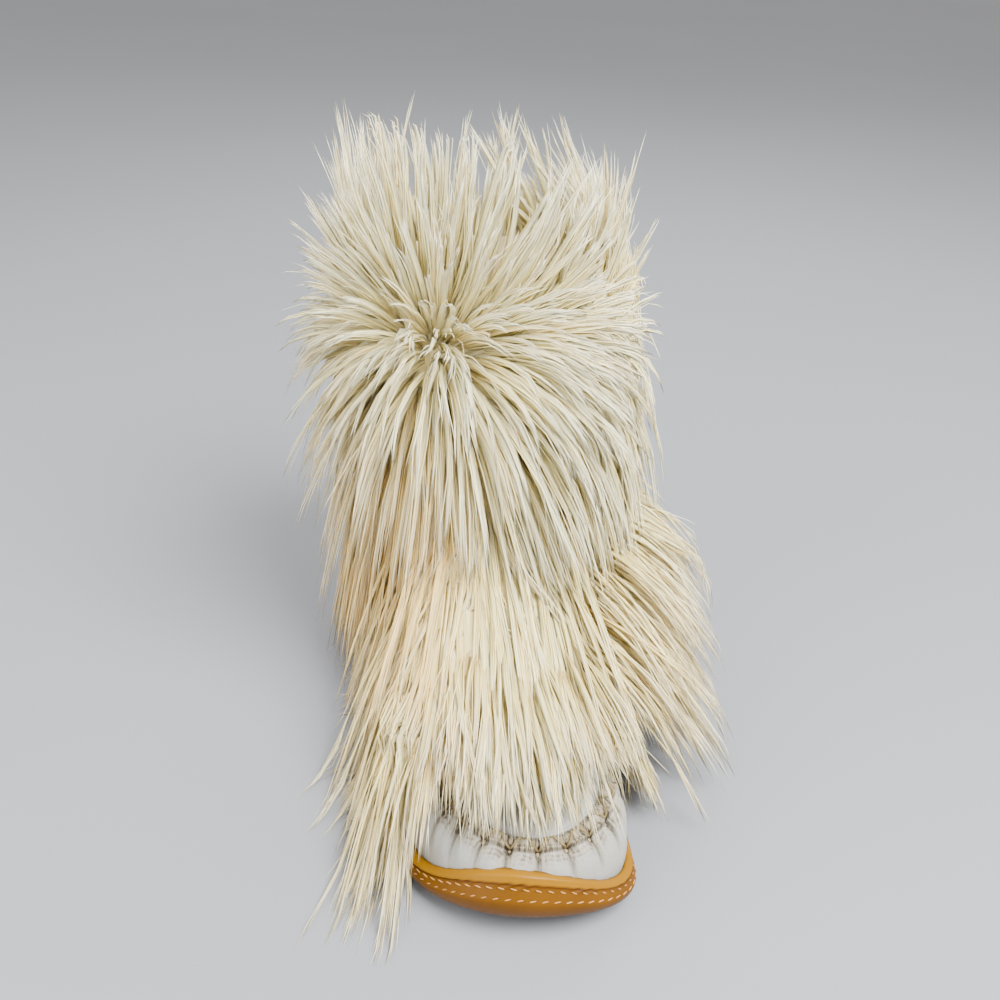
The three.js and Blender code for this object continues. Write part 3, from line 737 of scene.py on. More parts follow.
# Upper.
TOE_REACH = 1.75  # angle each side of the toe that has the fine gathers
GATHER_END = 112  # distance along the seam at which the gathers die out
HOLE_PLACE = 3.72
HOLE_SIZE = 1.9
HOLE_DEPTH = 1.7
HOLE_HEIGHT = 0.24
WEDGE_WIDTH = 1.8
LOBE_POWER = 0.6
FLUTE_DEPTH = 3.2
SMILES_PER_PLACE, SMILE_SAG, SMILE_PLACE, SMILE_SPREAD, SMILE_DEPTH = 3.4, 1.3, 3.15, 0.42, 0.7
RUFFLE_RISE, RUFFLE_LOBE, RUFFLE_FOLD, RUFFLE_PITCH = 0.9, 2.1, 0.35, 2.3
GUTTER_PLACE, GUTTER_SPREAD = 4.58, 0.14

# The rows of points up the wall: where each stretch starts and how many rows it has.
WALL_ROWS = ((0, 6), (1.4, 6), (2.4, 50), (4.8, 12), (7, 15))
TOE_COLUMNS, REST_COLUMNS, LINING_ROWS = 256, 36, 16
THREAD_HIGH, THREAD_LOW, THREAD_RADIUS, THREAD_STEPS = 4.42, 3.74, 0.55, 14

# The insole's edge: share of its thickness, and share by which the loop is drawn in.
EDGE_RISE, EDGE_DRAWN = np.array([(0, 0), (0.6, 0), (0.92, 0.012), (1, 0.03)]).T


def seam_walk(phi):
    """The distance along the seam from the middle of the toe to each angle, signed by its side."""
    fine = np.linspace(0, TAU, 2001)
    walked = arc_length(upper_point(SEAM, fine))
    return np.interp(phi, fine, walked) - np.interp(math.pi, fine, walked)


def near_toe(walk, start, end):
    """1 round the toe, fading to 0 between two distances along the seam."""
    return 1 - smooth(start, end, np.abs(walk))


def lobes(walk, power):
    """1 in the middle of each lobe, 0 at the holes beside it; a low power makes the lobe full."""
    return np.abs(np.sin(math.pi * walk / PUCKER_WIDTH)) ** power


def from_nearest_hole(walk):
    return np.abs((walk / PUCKER_WIDTH + 0.5) % 1 - 0.5) * PUCKER_WIDTH


def smiles(place, walk):
    """1 in the sharp curved creases that hang across each lobe under the seam, 0 between them."""
    lobe = lobes(walk, LOBE_POWER)
    turn = place * SMILES_PER_PLACE - lobe * SMILE_SAG + 0.25 * np.sin(walk * 0.7)
    sharp = (1 - np.abs(np.sin(math.pi * turn))) ** 1.5
    return sharp * hump(place, SMILE_PLACE, SMILE_SPREAD) * lobe


def gathers(place, phi):
    """How far the leather stands out: flutes up the wall, creases under the seam, a pinch at each
    hole, a thick ruffle on the seam with small folds across it, a gutter, and the drawn-in plug."""
    walk = seam_walk(phi)
    lobe = lobes(walk, LOBE_POWER)
    wobble = 1 + 0.18 * np.sin(walk * 0.9) + 0.12 * np.sin(walk * 0.37 + 1)
    flute = FLUTE_DEPTH * (lobe - 0.5) * wobble * band(place, 0.8, 3.0, 3.75, 3.95)
    folds = np.sin(TAU * walk / RUFFLE_PITCH + 1.5 * np.sin(walk * 0.8) + place * 5)
    ruffle = RUFFLE_RISE + RUFFLE_LOBE * lobe * wobble + RUFFLE_FOLD * folds
    ruffle = ruffle * band(place, 3.55, 3.8, 4.2, 4.5)
    crease = SMILE_DEPTH * smiles(place, walk)
    hole = HOLE_DEPTH * hump(from_nearest_hole(walk), 0, HOLE_SIZE) * hump(place, HOLE_PLACE - 0.15, 0.3)
    gutter = hump(place, GUTTER_PLACE, GUTTER_SPREAD)
    plug = (0.9 * lobe - 0.1) * band(place, 4.55, 4.75, 4.8, 5.6)
    raised = flute + ruffle - crease - hole - gutter + plug
    return near_toe(walk, GATHER_END - 14, GATHER_END) * raised


def gather_shade(place, phi):
    """1 along the browner seam and just under it, and in the painted shade of the pinched valleys between
    the lobes and of the curved creases under the seam; 0 on the wall and plug away from the seam.
    """
    walk = seam_walk(phi)
    seam = 0.66 * band(place, 3.5, 3.75, 4.45, 4.65)
    # Painted shade in the pinched valleys between the lobes.
    pinched = 0.62 * (1 - lobes(walk, 0.5)) * band(place, 1.0, 3.6, 4.0, 4.4)
    # Browner just under the seam, with painted shade in the curved creases there.
    under = 0.3 * hump(place, 3.3, 0.4) + 0.4 * smiles(place, walk)
    return near_toe(walk, GATHER_END, GATHER_END + 8) * np.clip(seam + pinched + under, 0, 1)


def hole_shade(place, phi):
    """1 in the painted shade of each hole and of the wedge that narrows down from it, less in the painted
    shade of the crease between the lobes.
    """
    walk = seam_walk(phi)
    beside = from_nearest_hole(walk)
    high = (place - HOLE_PLACE) / HOLE_HEIGHT
    wide = HOLE_SIZE * (0.75 + 0.5 * high).clip(0.3)
    hole = 1 - smooth(0.5, 1.15, np.hypot(beside / wide, high))
    wedge = WEDGE_WIDTH * np.clip((place - 3.1) / 0.6, 0.08, 1)
    notch = (1 - smooth(0.6, 1.15, beside / wedge)) * band(place, 3.05, 3.2, 3.8, 3.95)
    crease = 0.75 * hump(beside, 0, 0.75) * band(place, 1.2, 3.2, 3.7, 3.9)
    dark = np.maximum(np.maximum(hole, notch), crease)
    return near_toe(walk, GATHER_END - 10, GATHER_END) * dark


def upper_surface(place, phi, distance=0.0):
    return offset_point(place, phi, gathers(place, phi) + distance)


def wall_places():
    """The places of the rows, evenly spread over each stretch of the table up to the collar."""
    ends = [*(start for start, _ in WALL_ROWS[1:]), TOP]
    rows = [np.linspace(start, end, count, endpoint=False) for (start, count), end in zip(WALL_ROWS, ends)]
    return np.append(np.concatenate(rows), TOP)[:, None]


def make_upper():
    """The outer wall with its gathers, then the inner wall down again, joined as one ring."""
    half = np.concatenate([
        np.linspace(0, math.pi - TOE_REACH, REST_COLUMNS, endpoint=False),
        np.linspace(math.pi - TOE_REACH, math.pi, TOE_COLUMNS),
    ])
    phi = whole_turn(half)[None]
    places = wall_places()
    outer = upper_surface(places, phi)
    inner = offset_point(np.linspace(TOP, 0, LINING_ROWS)[:, None], phi, -UPPER_WALL)
    inner[-1, :, 2] = outer[0, :, 2]
    inner[0, :, 2] = outer[-1, :, 2]
    loops = np.concatenate([outer, inner])
    rows, count = loops.shape[:2]
    values = {
        "seam_tint_and_shade": gather_shade(places, phi),
        "hole": hole_shade(places, phi),
        "walk": seam_walk(phi).repeat(len(places), 0),
        "place": places,
    }
    attributes = {key: over_rows(value, rows, count, 0) for key, value in values.items()}
    face_slots = (np.arange(rows) >= len(places)).repeat(count)
    piece_from(
        "leather_upper", loops, LEATHER, "upper", ("upper",), joined=True,
        attributes=attributes, materials=(SHADED_LINING,), face_slots=face_slots,
    )


def tube(line, radius, around=8):
    """A round tube along a line of points, its ends closed by points on the line."""
    ahead = unit(np.gradient(line, axis=0))
    side = unit(np.cross(ahead, np.array([0.0, 0.0, 1.0])))
    up = np.cross(side, ahead)
    angle = np.arange(around) * TAU / around
    ring = side[:, None] * np.cos(angle)[None, :, None] + up[:, None] * np.sin(angle)[None, :, None]
    points = (line[:, None] + ring * radius).reshape(-1, 3)
    rows = len(line)
    here = np.arange(around)
    after = (here + 1) % around
    last = (rows - 1) * around
    ends = [
        np.stack([np.full(around, len(points)), after, here], -1),
        np.stack([np.full(around, len(points) + 1), last + here, last + after], -1),
    ]
    return np.concatenate([points, line[:1], line[-1:]]), [ring_faces(rows, around), *ends]


def make_seam_thread():
    """A zigzag over the seam: low where the wall is pinched, high on the plug between."""
    reach = int(GATHER_END / PUCKER_WIDTH) * 2 - 1
    knots = np.arange(-reach, reach + 1)
    t = np.linspace(0, len(knots) - 1, (len(knots) - 1) * THREAD_STEPS + 1)
    low = 1 - np.abs(np.mod(t + knots[0] + 1, 2) - 1)
    place = mix(THREAD_HIGH, THREAD_LOW, smooth(0, 1, low))
    fine = np.linspace(math.pi - 2.4, math.pi + 2.4, 2001)
    phi = np.interp((t + knots[0]) * PUCKER_WIDTH / 2, seam_walk(fine), fine)
    bridge = 0.25 + 0.35 * np.sin(math.pi * low)
    line = upper_surface(place, phi, bridge)
    points, faces = tube(line, THREAD_RADIUS)
    finish_piece(add_mesh("seam_thread", points, outward(points, faces), SEAM_THREAD))


def make_insole():
    """Loops inside the upper's wall from the footbed up, its upper edge drawn in, closed across."""
    phi = whole_turn(np.linspace(0, math.pi, 90))
    base = offset_point(0, phi, -(UPPER_WALL + CLEARANCE))
    base[:, 2] = bed_height((HEEL_OVERHANG - base[:, 1]) / SOLE_LENGTH) + CLEARANCE
    loops = np.repeat(base[None], len(EDGE_RISE), 0)
    loops[..., 2] += INSOLE_THICKNESS * EDGE_RISE[:, None]
    loops[..., :2] = mix(loops[..., :2], base[:, :2].mean(0), EDGE_DRAWN[:, None, None])
    piece_from("footbed", loops, FELT, "insole", ("insole",))


# Fur. How the hair flows: a row for each stretch of the boot, with the place and the angles that
# it reaches, the length as a share of HAIR_LENGTH, the directions out from the boot, up, to the
# heel and to the outer side, and the fall that bends it down.
FLOW_COLUMNS = ("place", "start", "end", "length", "out", "up", "back", "lean", "fall")
FLOW = np.array([
    (13.00, 0.3, 2.3, 1.12, -0.26, 1.00, 0.00, 0.30, 0.04),    # crown, inner side
    (13.00, 2.3, 3.9, 1.32, -0.10, 1.02, 0.00, 0.06, 0.02),    # crown, front
    (13.00, -2.4, 0.3, 1.20, -0.12, 1.02, 0.00, -0.04, 0.04),  # crown, outer side and back
    (12.65, 0.3, 2.4, 1.00, -0.04, 0.90, 0.00, 0.22, 0.12),    # foot of the crown, inner side
    (12.65, -3.9, 0.3, 1.05, 0.12, 0.86, 0.00, 0.04, 0.20),    # foot of the crown, the rest
    (12.30, -4.0, 4.0, 1.05, 0.40, -0.20, 0.00, 0.04, 0.48),   # parting under the crown
    (11.95, -4.0, 4.0, 1.35, 0.20, -0.50, 0.00, 0.00, 0.40),   # shaft under the parting
    (11.10, 2.4, 3.9, 1.50, 0.14, -0.75, 0.00, 0.00, 0.25),    # middle of the shaft, front
    (10.20, 0.4, 2.4, 0.85, 0.18, -0.78, 0.00, 0.00, 0.22),    # middle of the shaft, inner side
    (11.10, -2.4, 0.4, 1.35, 0.14, -0.75, 0.00, 0.00, 0.25),   # middle of the shaft, the rest
    (10.20, 2.4, 3.9, 1.45, 0.22, -0.62, -0.26, 0.00, 0.26),   # ankle, front
    (8.20, 0.6, 2.4, 1.10, 0.95, -0.10, -0.24, 0.00, 0.34),    # ankle, inner side
    (10.20, -2.4, 0.6, 1.25, 0.20, -0.75, 0.00, 0.00, 0.25),   # ankle, outer side and heel
    (8.60, 2.4, 3.9, 1.30, 0.28, -0.42, -0.72, 0.00, 0.16),    # vamp
    (7.60, 0.6, 2.4, 1.15, 0.88, -0.14, -0.36, 0.00, 0.38),    # inner side of the foot
    (8.00, -2.4, 0.6, 1.20, 0.36, -0.65, -0.05, 0.00, 0.30),   # outer side of the foot and heel
    (7.20, 4.0, 4.7, 1.85, 0.24, -0.44, -0.52, 0.00, 0.24),    # long locks at the outer toe
    (6.80, 2.4, 3.9, 0.86, 0.14, -0.04, -0.84, 0.00, 0.12),    # fringe over the plug
    (4.60, 0.3, 2.4, 0.60, 0.62, -0.35, -0.20, 0.00, 0.35),    # inner hem
    (4.60, -2.4, 0.3, 0.65, 0.42, -0.60, -0.05, 0.00, 0.35),   # outer hem
])
FLOW_REACH = 0.6
FAR_SHARE = 0.002
FLOW_WANDER = 0.1
WHORL_PLACE, WHORL_PHI = 12.5, 3.75
WHORL_REACH = 75
WHORL_CALM = 45
WHORL_FAN = 0.5
WHORL_LIFT = 0.5
WHORL_TUFT = 20
WHORL_DENSITY = 6
SHAFT_RADIUS = 62
HEM_LOW, HEM_TOE, HEM_TURNS = 1.7, 6.6, (0.55, 1.25)
FUR_TOP = TOP - 0.02
UNDERCOAT_SHARE = 0.5
UNDERCOAT_GAP = 0.5
ROOT_SHARE = 0.3
CROWN_START = 12.2
CROWN_DENSITY = 2.9
CROWN_FRONT, CROWN_FRONT_SPREAD, CROWN_FRONT_DENSITY = 2.8, 0.8, 2.4
PARTING_PLACE, PARTING_SPREAD, PARTING_DENSITY = 12.1, 0.3, 1.8
FRINGE_DENSITY = 3.0
SKIRT_DENSITY = 1.7
FRINGE_ANGLES = (math.pi - 1.05, math.pi + 0.72)
FRINGE_SLOPE = 0.87
FRINGE_LEAST = 14
TOE_CLEAR_SIDES = (-46, 58)
TOE_CLEAR_FRONT = -194
TOE_CLEAR_HEIGHT = 41
REACH_PAST = 14
REACH_KNEE = 14

# How far hair stays off the bare leather, more over the seam, off the sole and off the floor.
BARE_MARGIN, SEAM_MARGIN, SOLE_MARGIN = 4.5, 2.5, 3
FLOOR_CLEARANCE = 1.2
FOOT_MIDDLE = np.array([0, -80, 0])
MOST_MOVE = 60
NEAREST_AT_ONCE = 2000

# Random spread of the locks about their flow: place, lift, push and the range of their lengths.
PLACE_JITTER, LIFT_JITTER, PUSH_JITTER = 0.16, 0.05, 0.08
LENGTH_RANGE = (0.76, 1.06)
WAVE_RANGE = (1, 4)
TURN_JITTER, CROWN_TURN_JITTER = 0.06, 0.16

LOCKS = 6600
LOCK_STATIONS = np.array([0, 0.12, 0.28, 0.46, 0.64, 0.82, 1.0])
LOCK_SIDES = 4
LOCK_HALF_WIDTH = 2.0
LOCK_HALF_DEPTH = 0.65
LOCK_ROOT_WIDTH = 0.55
LOCK_LABELS = 400  # the locks' labels run up to this, so that the noise differs from lock to lock
LOCK_PIECES = 3
HAIRS_PER_LOCK = 3
HAIR_RADIUS = 0.22
HAIR_STATIONS = np.array([0.12, 0.38, 0.62, 0.84, 1.0])
HAIR_TAPER = np.array([0.9, 1.0, 0.9, 0.7, 0.0])
HAIR_PIECES = 4
STRAY_SHARE, STRAY_REACH, HAIR_REACH = 0.06, 8, 1.4
TOE_CUT = 0.45
ODD_WAY = np.array([0.3, 0.9, 0.31])  # a direction that hardly any hair runs in


def hem_place(phi):
    return mix(HEM_TOE, HEM_LOW, smooth(*HEM_TURNS, from_toe(phi)))


def fur_depth(place, phi):
    foot = (1 - smooth(8, 9.5, place)) * smooth(0.5, 1.1, from_toe(phi))
    return mix(FUR_DEPTH, FOOT_FUR_DEPTH, foot)


def from_whorl(points):
    return np.linalg.norm(points - upper_point(WHORL_PLACE, WHORL_PHI), axis=-1)


def make_undercoat():
    """The matted hair under the locks: the upper's surface moved out by half the fur's depth, less at
    the hem and the collar, and rippled; joined to a second skin just off the upper."""
    phi = whole_turn(np.linspace(0, math.pi, 90))[None]
    share = np.linspace(0, 1, 36)[:, None]
    place = mix(hem_place(phi), FUR_TOP, share)
    ripple = 0.5 * np.sin(phi * 23 + share * 5) + 0.5 * np.sin(phi * 41 - share * 9)
    edge = mix(0.3, 1, smooth(0, 0.15, share)) * mix(1, 0.5, smooth(0.9, 1, share))
    outer = offset_point(place, phi, fur_depth(place, phi) * UNDERCOAT_SHARE * edge * (1 + 0.12 * ripple))
    inner = offset_point(place[::-1], phi, UNDERCOAT_GAP)
    loops = np.concatenate([outer, inner])
    along = np.repeat(np.concatenate([share, share[::-1]]), phi.shape[1], 1)
    values = dict.fromkeys(("shade_and_tone", "warm", "lock"), np.zeros_like(along))
    across = np.broadcast_to(np.sin(phi / 2) * 24, along.shape)
    piece_from(
        "undercoat", loops, UNDERCOAT, "fur", ("fur",), joined=True,
        attributes={"along": along * 0.5, "across": across, **values},
    )


def body_samples():
    """Points on the boot under the hair, their normals, and how far hair stays from each."""
    phi = np.linspace(0, TAU, 96, endpoint=False)[None]
    places = np.linspace(0.5, TOP, 60)[:, None]
    furry = smooth(-0.3, 0.5, places - hem_place(phi))
    over_seam = hump(places, SEAM, 1.2) * (1 - smooth(1.0, 1.6, from_toe(phi)))
    margin = mix(BARE_MARGIN, UNDERCOAT_SHARE * fur_depth(places, phi), furry) + SEAM_MARGIN * over_seam
    sole = sole_point(np.array([[0.15], [0.5], [1.0]]), 0, 0, phi).reshape(-1, 3)
    points = np.concatenate([upper_point(places, phi).reshape(-1, 3), sole])
    normals = np.concatenate([upper_normal(places, phi).reshape(-1, 3), unit((sole - FOOT_MIDDLE) * LEVEL)])
    return points, normals, np.append(margin.ravel(), np.full(len(sole), SOLE_MARGIN))


BODY_POINTS, BODY_NORMALS, BODY_MARGINS = body_samples()


def clear_of_body(points, ease):
    """Moves each point out along the nearest body normal until it stands clear of the boot, less and
    less above the collar, and gives those normals too."""
    flat = points.reshape(-1, 3)
    nearest = np.empty(len(flat), int)
    squares = (BODY_POINTS**2).sum(1)
    for start in range(0, len(flat), NEAREST_AT_ONCE):
        part = slice(start, start + NEAREST_AT_ONCE)
        nearest[part] = (squares[None] - 2 * flat[part] @ BODY_POINTS.T).argmin(1)
    normals = BODY_NORMALS[nearest]
    height = np.einsum("ij,ij->i", flat - BODY_POINTS[nearest], normals)
    beside = 1 - smooth(COLLAR_HEIGHT - 2, COLLAR_HEIGHT + 12, flat[:, 2])
    lack = np.clip(BODY_MARGINS[nearest] * ease.ravel() - height, 0, MOST_MOVE) * beside
    moved = flat + normals * lack[:, None]
    moved[:, 2] = np.maximum(moved[:, 2], FLOOR_CLEARANCE)
    return moved.reshape(points.shape), normals.reshape(points.shape)


def scatter_roots(count, rng):
    """Places and angles spread over the skin by its area, closer at the crown, the parting under it,
    the whorl, the fringe over the toe and the skirt on the inner side."""
    share, phi = np.meshgrid(np.linspace(0, 1, 160), np.linspace(0, TAU, 320), indexing="ij")
    place = mix(hem_place(phi), FUR_TOP, share)
    points = upper_point(place, phi)
    rows, columns = np.gradient(points, axis=0), np.gradient(points, axis=1)
    area = np.linalg.norm(np.cross(rows, columns), axis=-1)
    front = CROWN_FRONT_DENSITY * hump(phi, CROWN_FRONT, CROWN_FRONT_SPREAD)
    crown = smooth(CROWN_START, CROWN_START + 0.3, place) * (CROWN_DENSITY - 1 + front)
    parting = hump(place, PARTING_PLACE, PARTING_SPREAD) * (PARTING_DENSITY - 1)
    tuft = hump(from_whorl(points), 0, WHORL_TUFT) * (WHORL_DENSITY - 1)
    fringe = (1 - smooth(7, 8, place)) * (FRINGE_DENSITY - 1)
    skirt = (1 - smooth(9.5, 10, place)) * band(phi, 0.5, 0.8, 2.3, 2.6) * (SKIRT_DENSITY - 1)
    weight = (area * (1 + crown + parting + tuft + fringe + skirt)).ravel()
    picked = rng.choice(len(weight), count, p=weight / weight.sum())
    phi = phi.ravel()[picked] + rng.uniform(-0.01, 0.01, count)
    share = np.clip(share.ravel()[picked] + rng.uniform(-0.003, 0.003, count), 0, 1)
    return mix(hem_place(phi), FUR_TOP, share), phi


def sample_lines(values, at):
    """Values known at the locks' stations, read at other shares of the way along each lock."""
    where = np.interp(np.clip(at, 0, 1), LOCK_STATIONS, np.arange(len(LOCK_STATIONS)))
    low = np.clip(where.astype(int), 0, len(LOCK_STATIONS) - 2)
    rows = np.arange(len(values))[:, None]
    return mix(values[rows, low], values[rows, low + 1], (where - low)[..., None])


def keep_inside(points):
    """Bends what reaches past the solids' box back towards it, by a curve that never passes
    REACH_PAST, and keeps all of it above the floor."""
    low = np.array(CAD_BOX[0]) / MM - REACH_PAST
    high = np.array(CAD_BOX[1]) / MM + REACH_PAST
    over = np.maximum(points - high + REACH_KNEE, 0)
    under = np.maximum(low + REACH_KNEE - points, 0)
    points = points - over + REACH_KNEE * (1 - np.exp(-over / REACH_KNEE))
    points = points + (under - REACH_KNEE * (1 - np.exp(-under / REACH_KNEE))) * LEVEL
    points[..., 2] = np.maximum(points[..., 2], FLOOR_CLEARANCE)
    return points


def over_toe(points):
    """True where a point hangs over the seam and the sole's toe."""
    x, y, z = points[..., 0], points[..., 1], points[..., 2]
    left, right = TOE_CLEAR_SIDES
    return (x > left) & (x < right) & (y < TOE_CLEAR_FRONT) & (z < TOE_CLEAR_HEIGHT)


def clear_of_toe(line, normals):
    """Ends each lock before it hangs over the seam."""
    blocked = over_toe(line)
    last = np.where(blocked.any(1), np.maximum(blocked.argmax(1) - 1, 1), len(LOCK_STATIONS) - 1)
    at = LOCK_STATIONS[None] * LOCK_STATIONS[last][:, None]
    return sample_lines(line, at), sample_lines(normals, at)


def flow_at(place, phi):
    """Each flow column at a root: the mean of the table's rows, weighted by their nearness."""
    columns = dict(zip(FLOW_COLUMNS, FLOW.T))
    middle = (columns["start"] + columns["end"]) / 2
    half = (columns["end"] - columns["start"]) / 2
    away = np.abs((phi[:, None] - middle + math.pi) % TAU - math.pi)
    apart = np.abs(place[:, None] - columns["place"])
    beside = np.maximum(away - half, 0)
    near = np.exp(-((apart / FLOW_REACH) ** 2)) * (1 - smooth(-0.15, 0.2, away - half))
    near = near + FAR_SHARE * np.exp(-apart * 3 - beside * 12)
    near /= near.sum(1, keepdims=True)
    return {key: near @ columns[key] for key in FLOW_COLUMNS[3:]}


def lock_aims(place, phi, root, flow, rng):
    """How far each lock goes aside, up and out for each of its lengths: the flow, turned away from
    the whorl near it, with waves round the boot and random spread."""
    beside = ((phi - WHORL_PHI + math.pi) % TAU - math.pi) * SHAFT_RADIUS
    above = root[:, 2] - upper_point(WHORL_PLACE, WHORL_PHI)[2]
    far = np.hypot(beside, above)
    away = np.maximum(far, WHORL_TUFT)
    pull = hump(far, 0, WHORL_REACH)
    turn = np.sin(phi * 7 + place * 2.1) * 0.1 + np.sin(phi * 13 - place * 3.3) * 0.08
    fan = mix(1, WHORL_FAN, smooth(0, 14, above)) * pull
    loose = mix(TURN_JITTER, CROWN_TURN_JITTER, smooth(4, 18, above) * pull)
    aside = fan * beside / away + turn + rng.normal(0, 1, LOCKS) * loose
    lift = flow["up"] + WHORL_LIFT * pull * above / away + rng.normal(0, LIFT_JITTER, LOCKS)
    push = flow["out"] + rng.normal(0, PUSH_JITTER, LOCKS) + 0.12 * hump(far, 0, WHORL_TUFT)
    return aside, lift, push


def lock_lengths(phi, root, flow, rng):
    """The flow's length with random spread, cut over the toe so that the fringe ends at the seam."""
    length = HAIR_LENGTH * flow["length"] * rng.uniform(*LENGTH_RANGE, LOCKS)
    to_seam = (root[:, 1] - upper_point(SEAM, phi)[:, 1]) / FRINGE_SLOPE
    in_fringe = (phi > FRINGE_ANGLES[0]) & (phi < FRINGE_ANGLES[1])
    return np.where(in_fringe, np.minimum(length, np.maximum(to_seam, FRINGE_LEAST)), length)


def lock_lines(rng):
    """The middle line of each lock: from the skin aside, out, up, back and leaning by its aims, with
    a fall that grows with the square of the way along, kept clear of the boot and the toe."""
    place, phi = scatter_roots(LOCKS, rng)
    root = upper_point(place, phi)
    wander = FLOW_WANDER * (np.sin(phi * 3 + 1) + 0.5 * np.sin(phi * 8))
    wander = (wander + rng.normal(0, PLACE_JITTER, LOCKS)) * (1 - hump(from_whorl(root), 0, WHORL_CALM))
    flow = flow_at(np.minimum(place + wander, TOP), phi)
    out = unit(upper_normal(place, phi) * LEVEL)[:, None]
    side = np.stack([out[..., 1], -out[..., 0], np.zeros((LOCKS, 1))], -1)
    aims = lock_aims(place, phi, root, flow, rng)
    aside, lift, push = (values[:, None, None] for values in aims)
    back, lean, fall = (flow[key][:, None, None] for key in ("back", "lean", "fall"))
    length = lock_lengths(phi, root, flow, rng)[:, None, None]
    t = LOCK_STATIONS[None, :, None]
    line = (
        side * aside * t * (1 - 0.3 * t)
        + np.array([0, 1, 0]) * back * t
        + np.array([-1, 0, 0]) * lean * t
        + np.array([0, 0, 1]) * (lift * t - fall * t * t)
        + out * push * t * (1 - 0.25 * t)
    )
    start = offset_point(place, phi, fur_depth(place, phi) * ROOT_SHARE)
    phase = rng.uniform(0, TAU, LOCKS)[:, None, None]
    wave = np.sin(phase + t * 4.2) * t * rng.uniform(*WAVE_RANGE, LOCKS)[:, None, None]
    line = start[:, None] + line * length + side * wave
    layer = rng.random(LOCKS)
    ease = (0.75 + 0.75 * layer)[:, None] * (0.75 + 0.25 * LOCK_STATIONS)
    line, normals = clear_of_toe(*clear_of_body(keep_inside(line), ease))
    return keep_inside(line), normals, layer, flow


def lock_frames(line, normals):
    """Along each lock: across it, in the skin's plane, and away from the skin."""
    ahead = unit(np.gradient(line, axis=1))
    across = unit(np.cross(ahead, normals) + 1e-4)
    return across, np.cross(across, ahead)


# Golden patches on the outer front and the inner side of the foot: middle across and up, reach of
# each, and strength.
WARM_PATCHES = ((-48, 115, 36, 58, 0.9), (60, 75, 35, 40, 0.35))


def warm_patches(points):
    """How golden the hair is at each point, fading into the cream round each patch."""
    x, z = points[..., 0], points[..., 2]
    patches = [strength * hump(x, a, wide) * hump(z, b, high) for a, b, wide, high, strength in WARM_PATCHES]
    return np.clip(sum(patches), 0, 1)


def spike_faces(rings, sides):
    """Quads between the rings, triangles from the last ring to the tip, and a closed root."""
    here = np.arange(sides)
    last = sides * (rings - 1)
    tip = np.stack([last + here, np.full(sides, sides * rings), last + (here + 1) % sides], -1)
    root = cap_faces(0, sides, True) if sides > 3 else [here[None]]
    return [ring_faces(rings, sides), tip, *root]


def add_spikes(name, pieces, rings, tips, stations, values, material):
    """Closed spikes shared out over the pieces: rings from the root up, a point at the tip, and
    for each attribute a value for each spike or for each of its points."""
    count, levels, sides = rings.shape[:3]
    points = np.concatenate([rings.reshape(count, -1, 3), tips[:, None]], 1)
    faces = spike_faces(levels, sides)
    values["along"] = np.tile(np.append(np.repeat(stations[:-1], sides), 1.0), (count, 1))
    for key, value in values.items():
        values[key] = np.broadcast_to(value.reshape(count, -1), points.shape[:2])
    for k in range(pieces):
        part = points[k::pieces]
        steps = (np.arange(len(part)) * part.shape[1])[:, None, None]
        joined = [(f[None] + steps).reshape(-1, f.shape[1]) for f in faces]
        flat = part.reshape(-1, 3)
        attributes = {key: value[k::pieces] for key, value in values.items()}
        piece = add_mesh(f"{name}_{k + 1}", flat, outward(flat, joined), material, attributes=attributes)
        finish_piece(piece)


def make_locks(line, across, away, size, shade_and_tone, warm):
    """Flat bundles along the lines, closed at the root, widest at a third and drawn to a point."""
    t = LOCK_STATIONS
    width = mix(LOCK_ROOT_WIDTH, 1, smooth(0, 0.3, t)) * (1 - t**2.6) ** 0.9
    angle = np.arange(LOCK_SIDES) * TAU / LOCK_SIDES
    side = size[:, None, None] * LOCK_HALF_WIDTH * width[None, :, None] * np.cos(angle)
    deep = size[:, None, None] * LOCK_HALF_DEPTH * width[None, :, None] * np.sin(angle)
    rings = line[:, :, None] + across[:, :, None] * side[..., None] + away[:, :, None] * deep[..., None]
    rings[..., 2] = np.maximum(rings[..., 2], FLOOR_CLEARANCE)
    reach = np.append(np.tile(np.cos(angle), len(t) - 1), 0.0)
    values = {
        "across": reach * size[:, None],
        "shade_and_tone": shade_and_tone,
        "warm": warm,
        "lock": np.linspace(0, LOCK_LABELS, len(line)),
    }
    add_spikes("fur_locks", LOCK_PIECES, rings[:, :-1], line[:, -1], t, values, LOCK_HAIR)


def hair_paths(owner, line, across, away, size, rng):
    """The line of each hair: its lock's, moved across and out of it, drawn in towards the tip, bent
    off by a random stray that grows along it, and cut back where it would hang over the seam."""
    count = len(owner)
    at = np.clip(HAIR_STATIONS[None] * rng.uniform(0.86, 1.12, (count, 1)), 0, None)
    centre, side, off = (sample_lines(values[owner], at) for values in (line, across, away))
    tail = (line[owner, -1] - line[owner, -2]) / (LOCK_STATIONS[-1] - LOCK_STATIONS[-2])
    centre = centre + tail[:, None] * np.clip(at - 1, 0, None)[..., None]
    spread = rng.uniform(-1.05, 1.05, (count, 1, 1)) * LOCK_HALF_WIDTH * size[owner][:, None, None]
    lift = rng.uniform(0.2, 1.15, (count, 1, 1)) * LOCK_HALF_DEPTH * 1.2
    draw = 1 - 0.55 * at[..., None] ** 2
    path = centre + side * spread * draw + off * (lift * draw + 0.3)
    stray = np.where(rng.random((count, 1, 1)) < STRAY_SHARE, STRAY_REACH, HAIR_REACH)
    stray = stray * np.minimum(size[owner], 1)[:, None, None]
    path = keep_inside(path + rng.normal(0, 1, (count, 1, 3)) * stray * at[..., None] ** 1.5)
    return np.where(over_toe(path).any(1)[:, None, None], mix(path[:, :1], path, TOE_CUT), path)


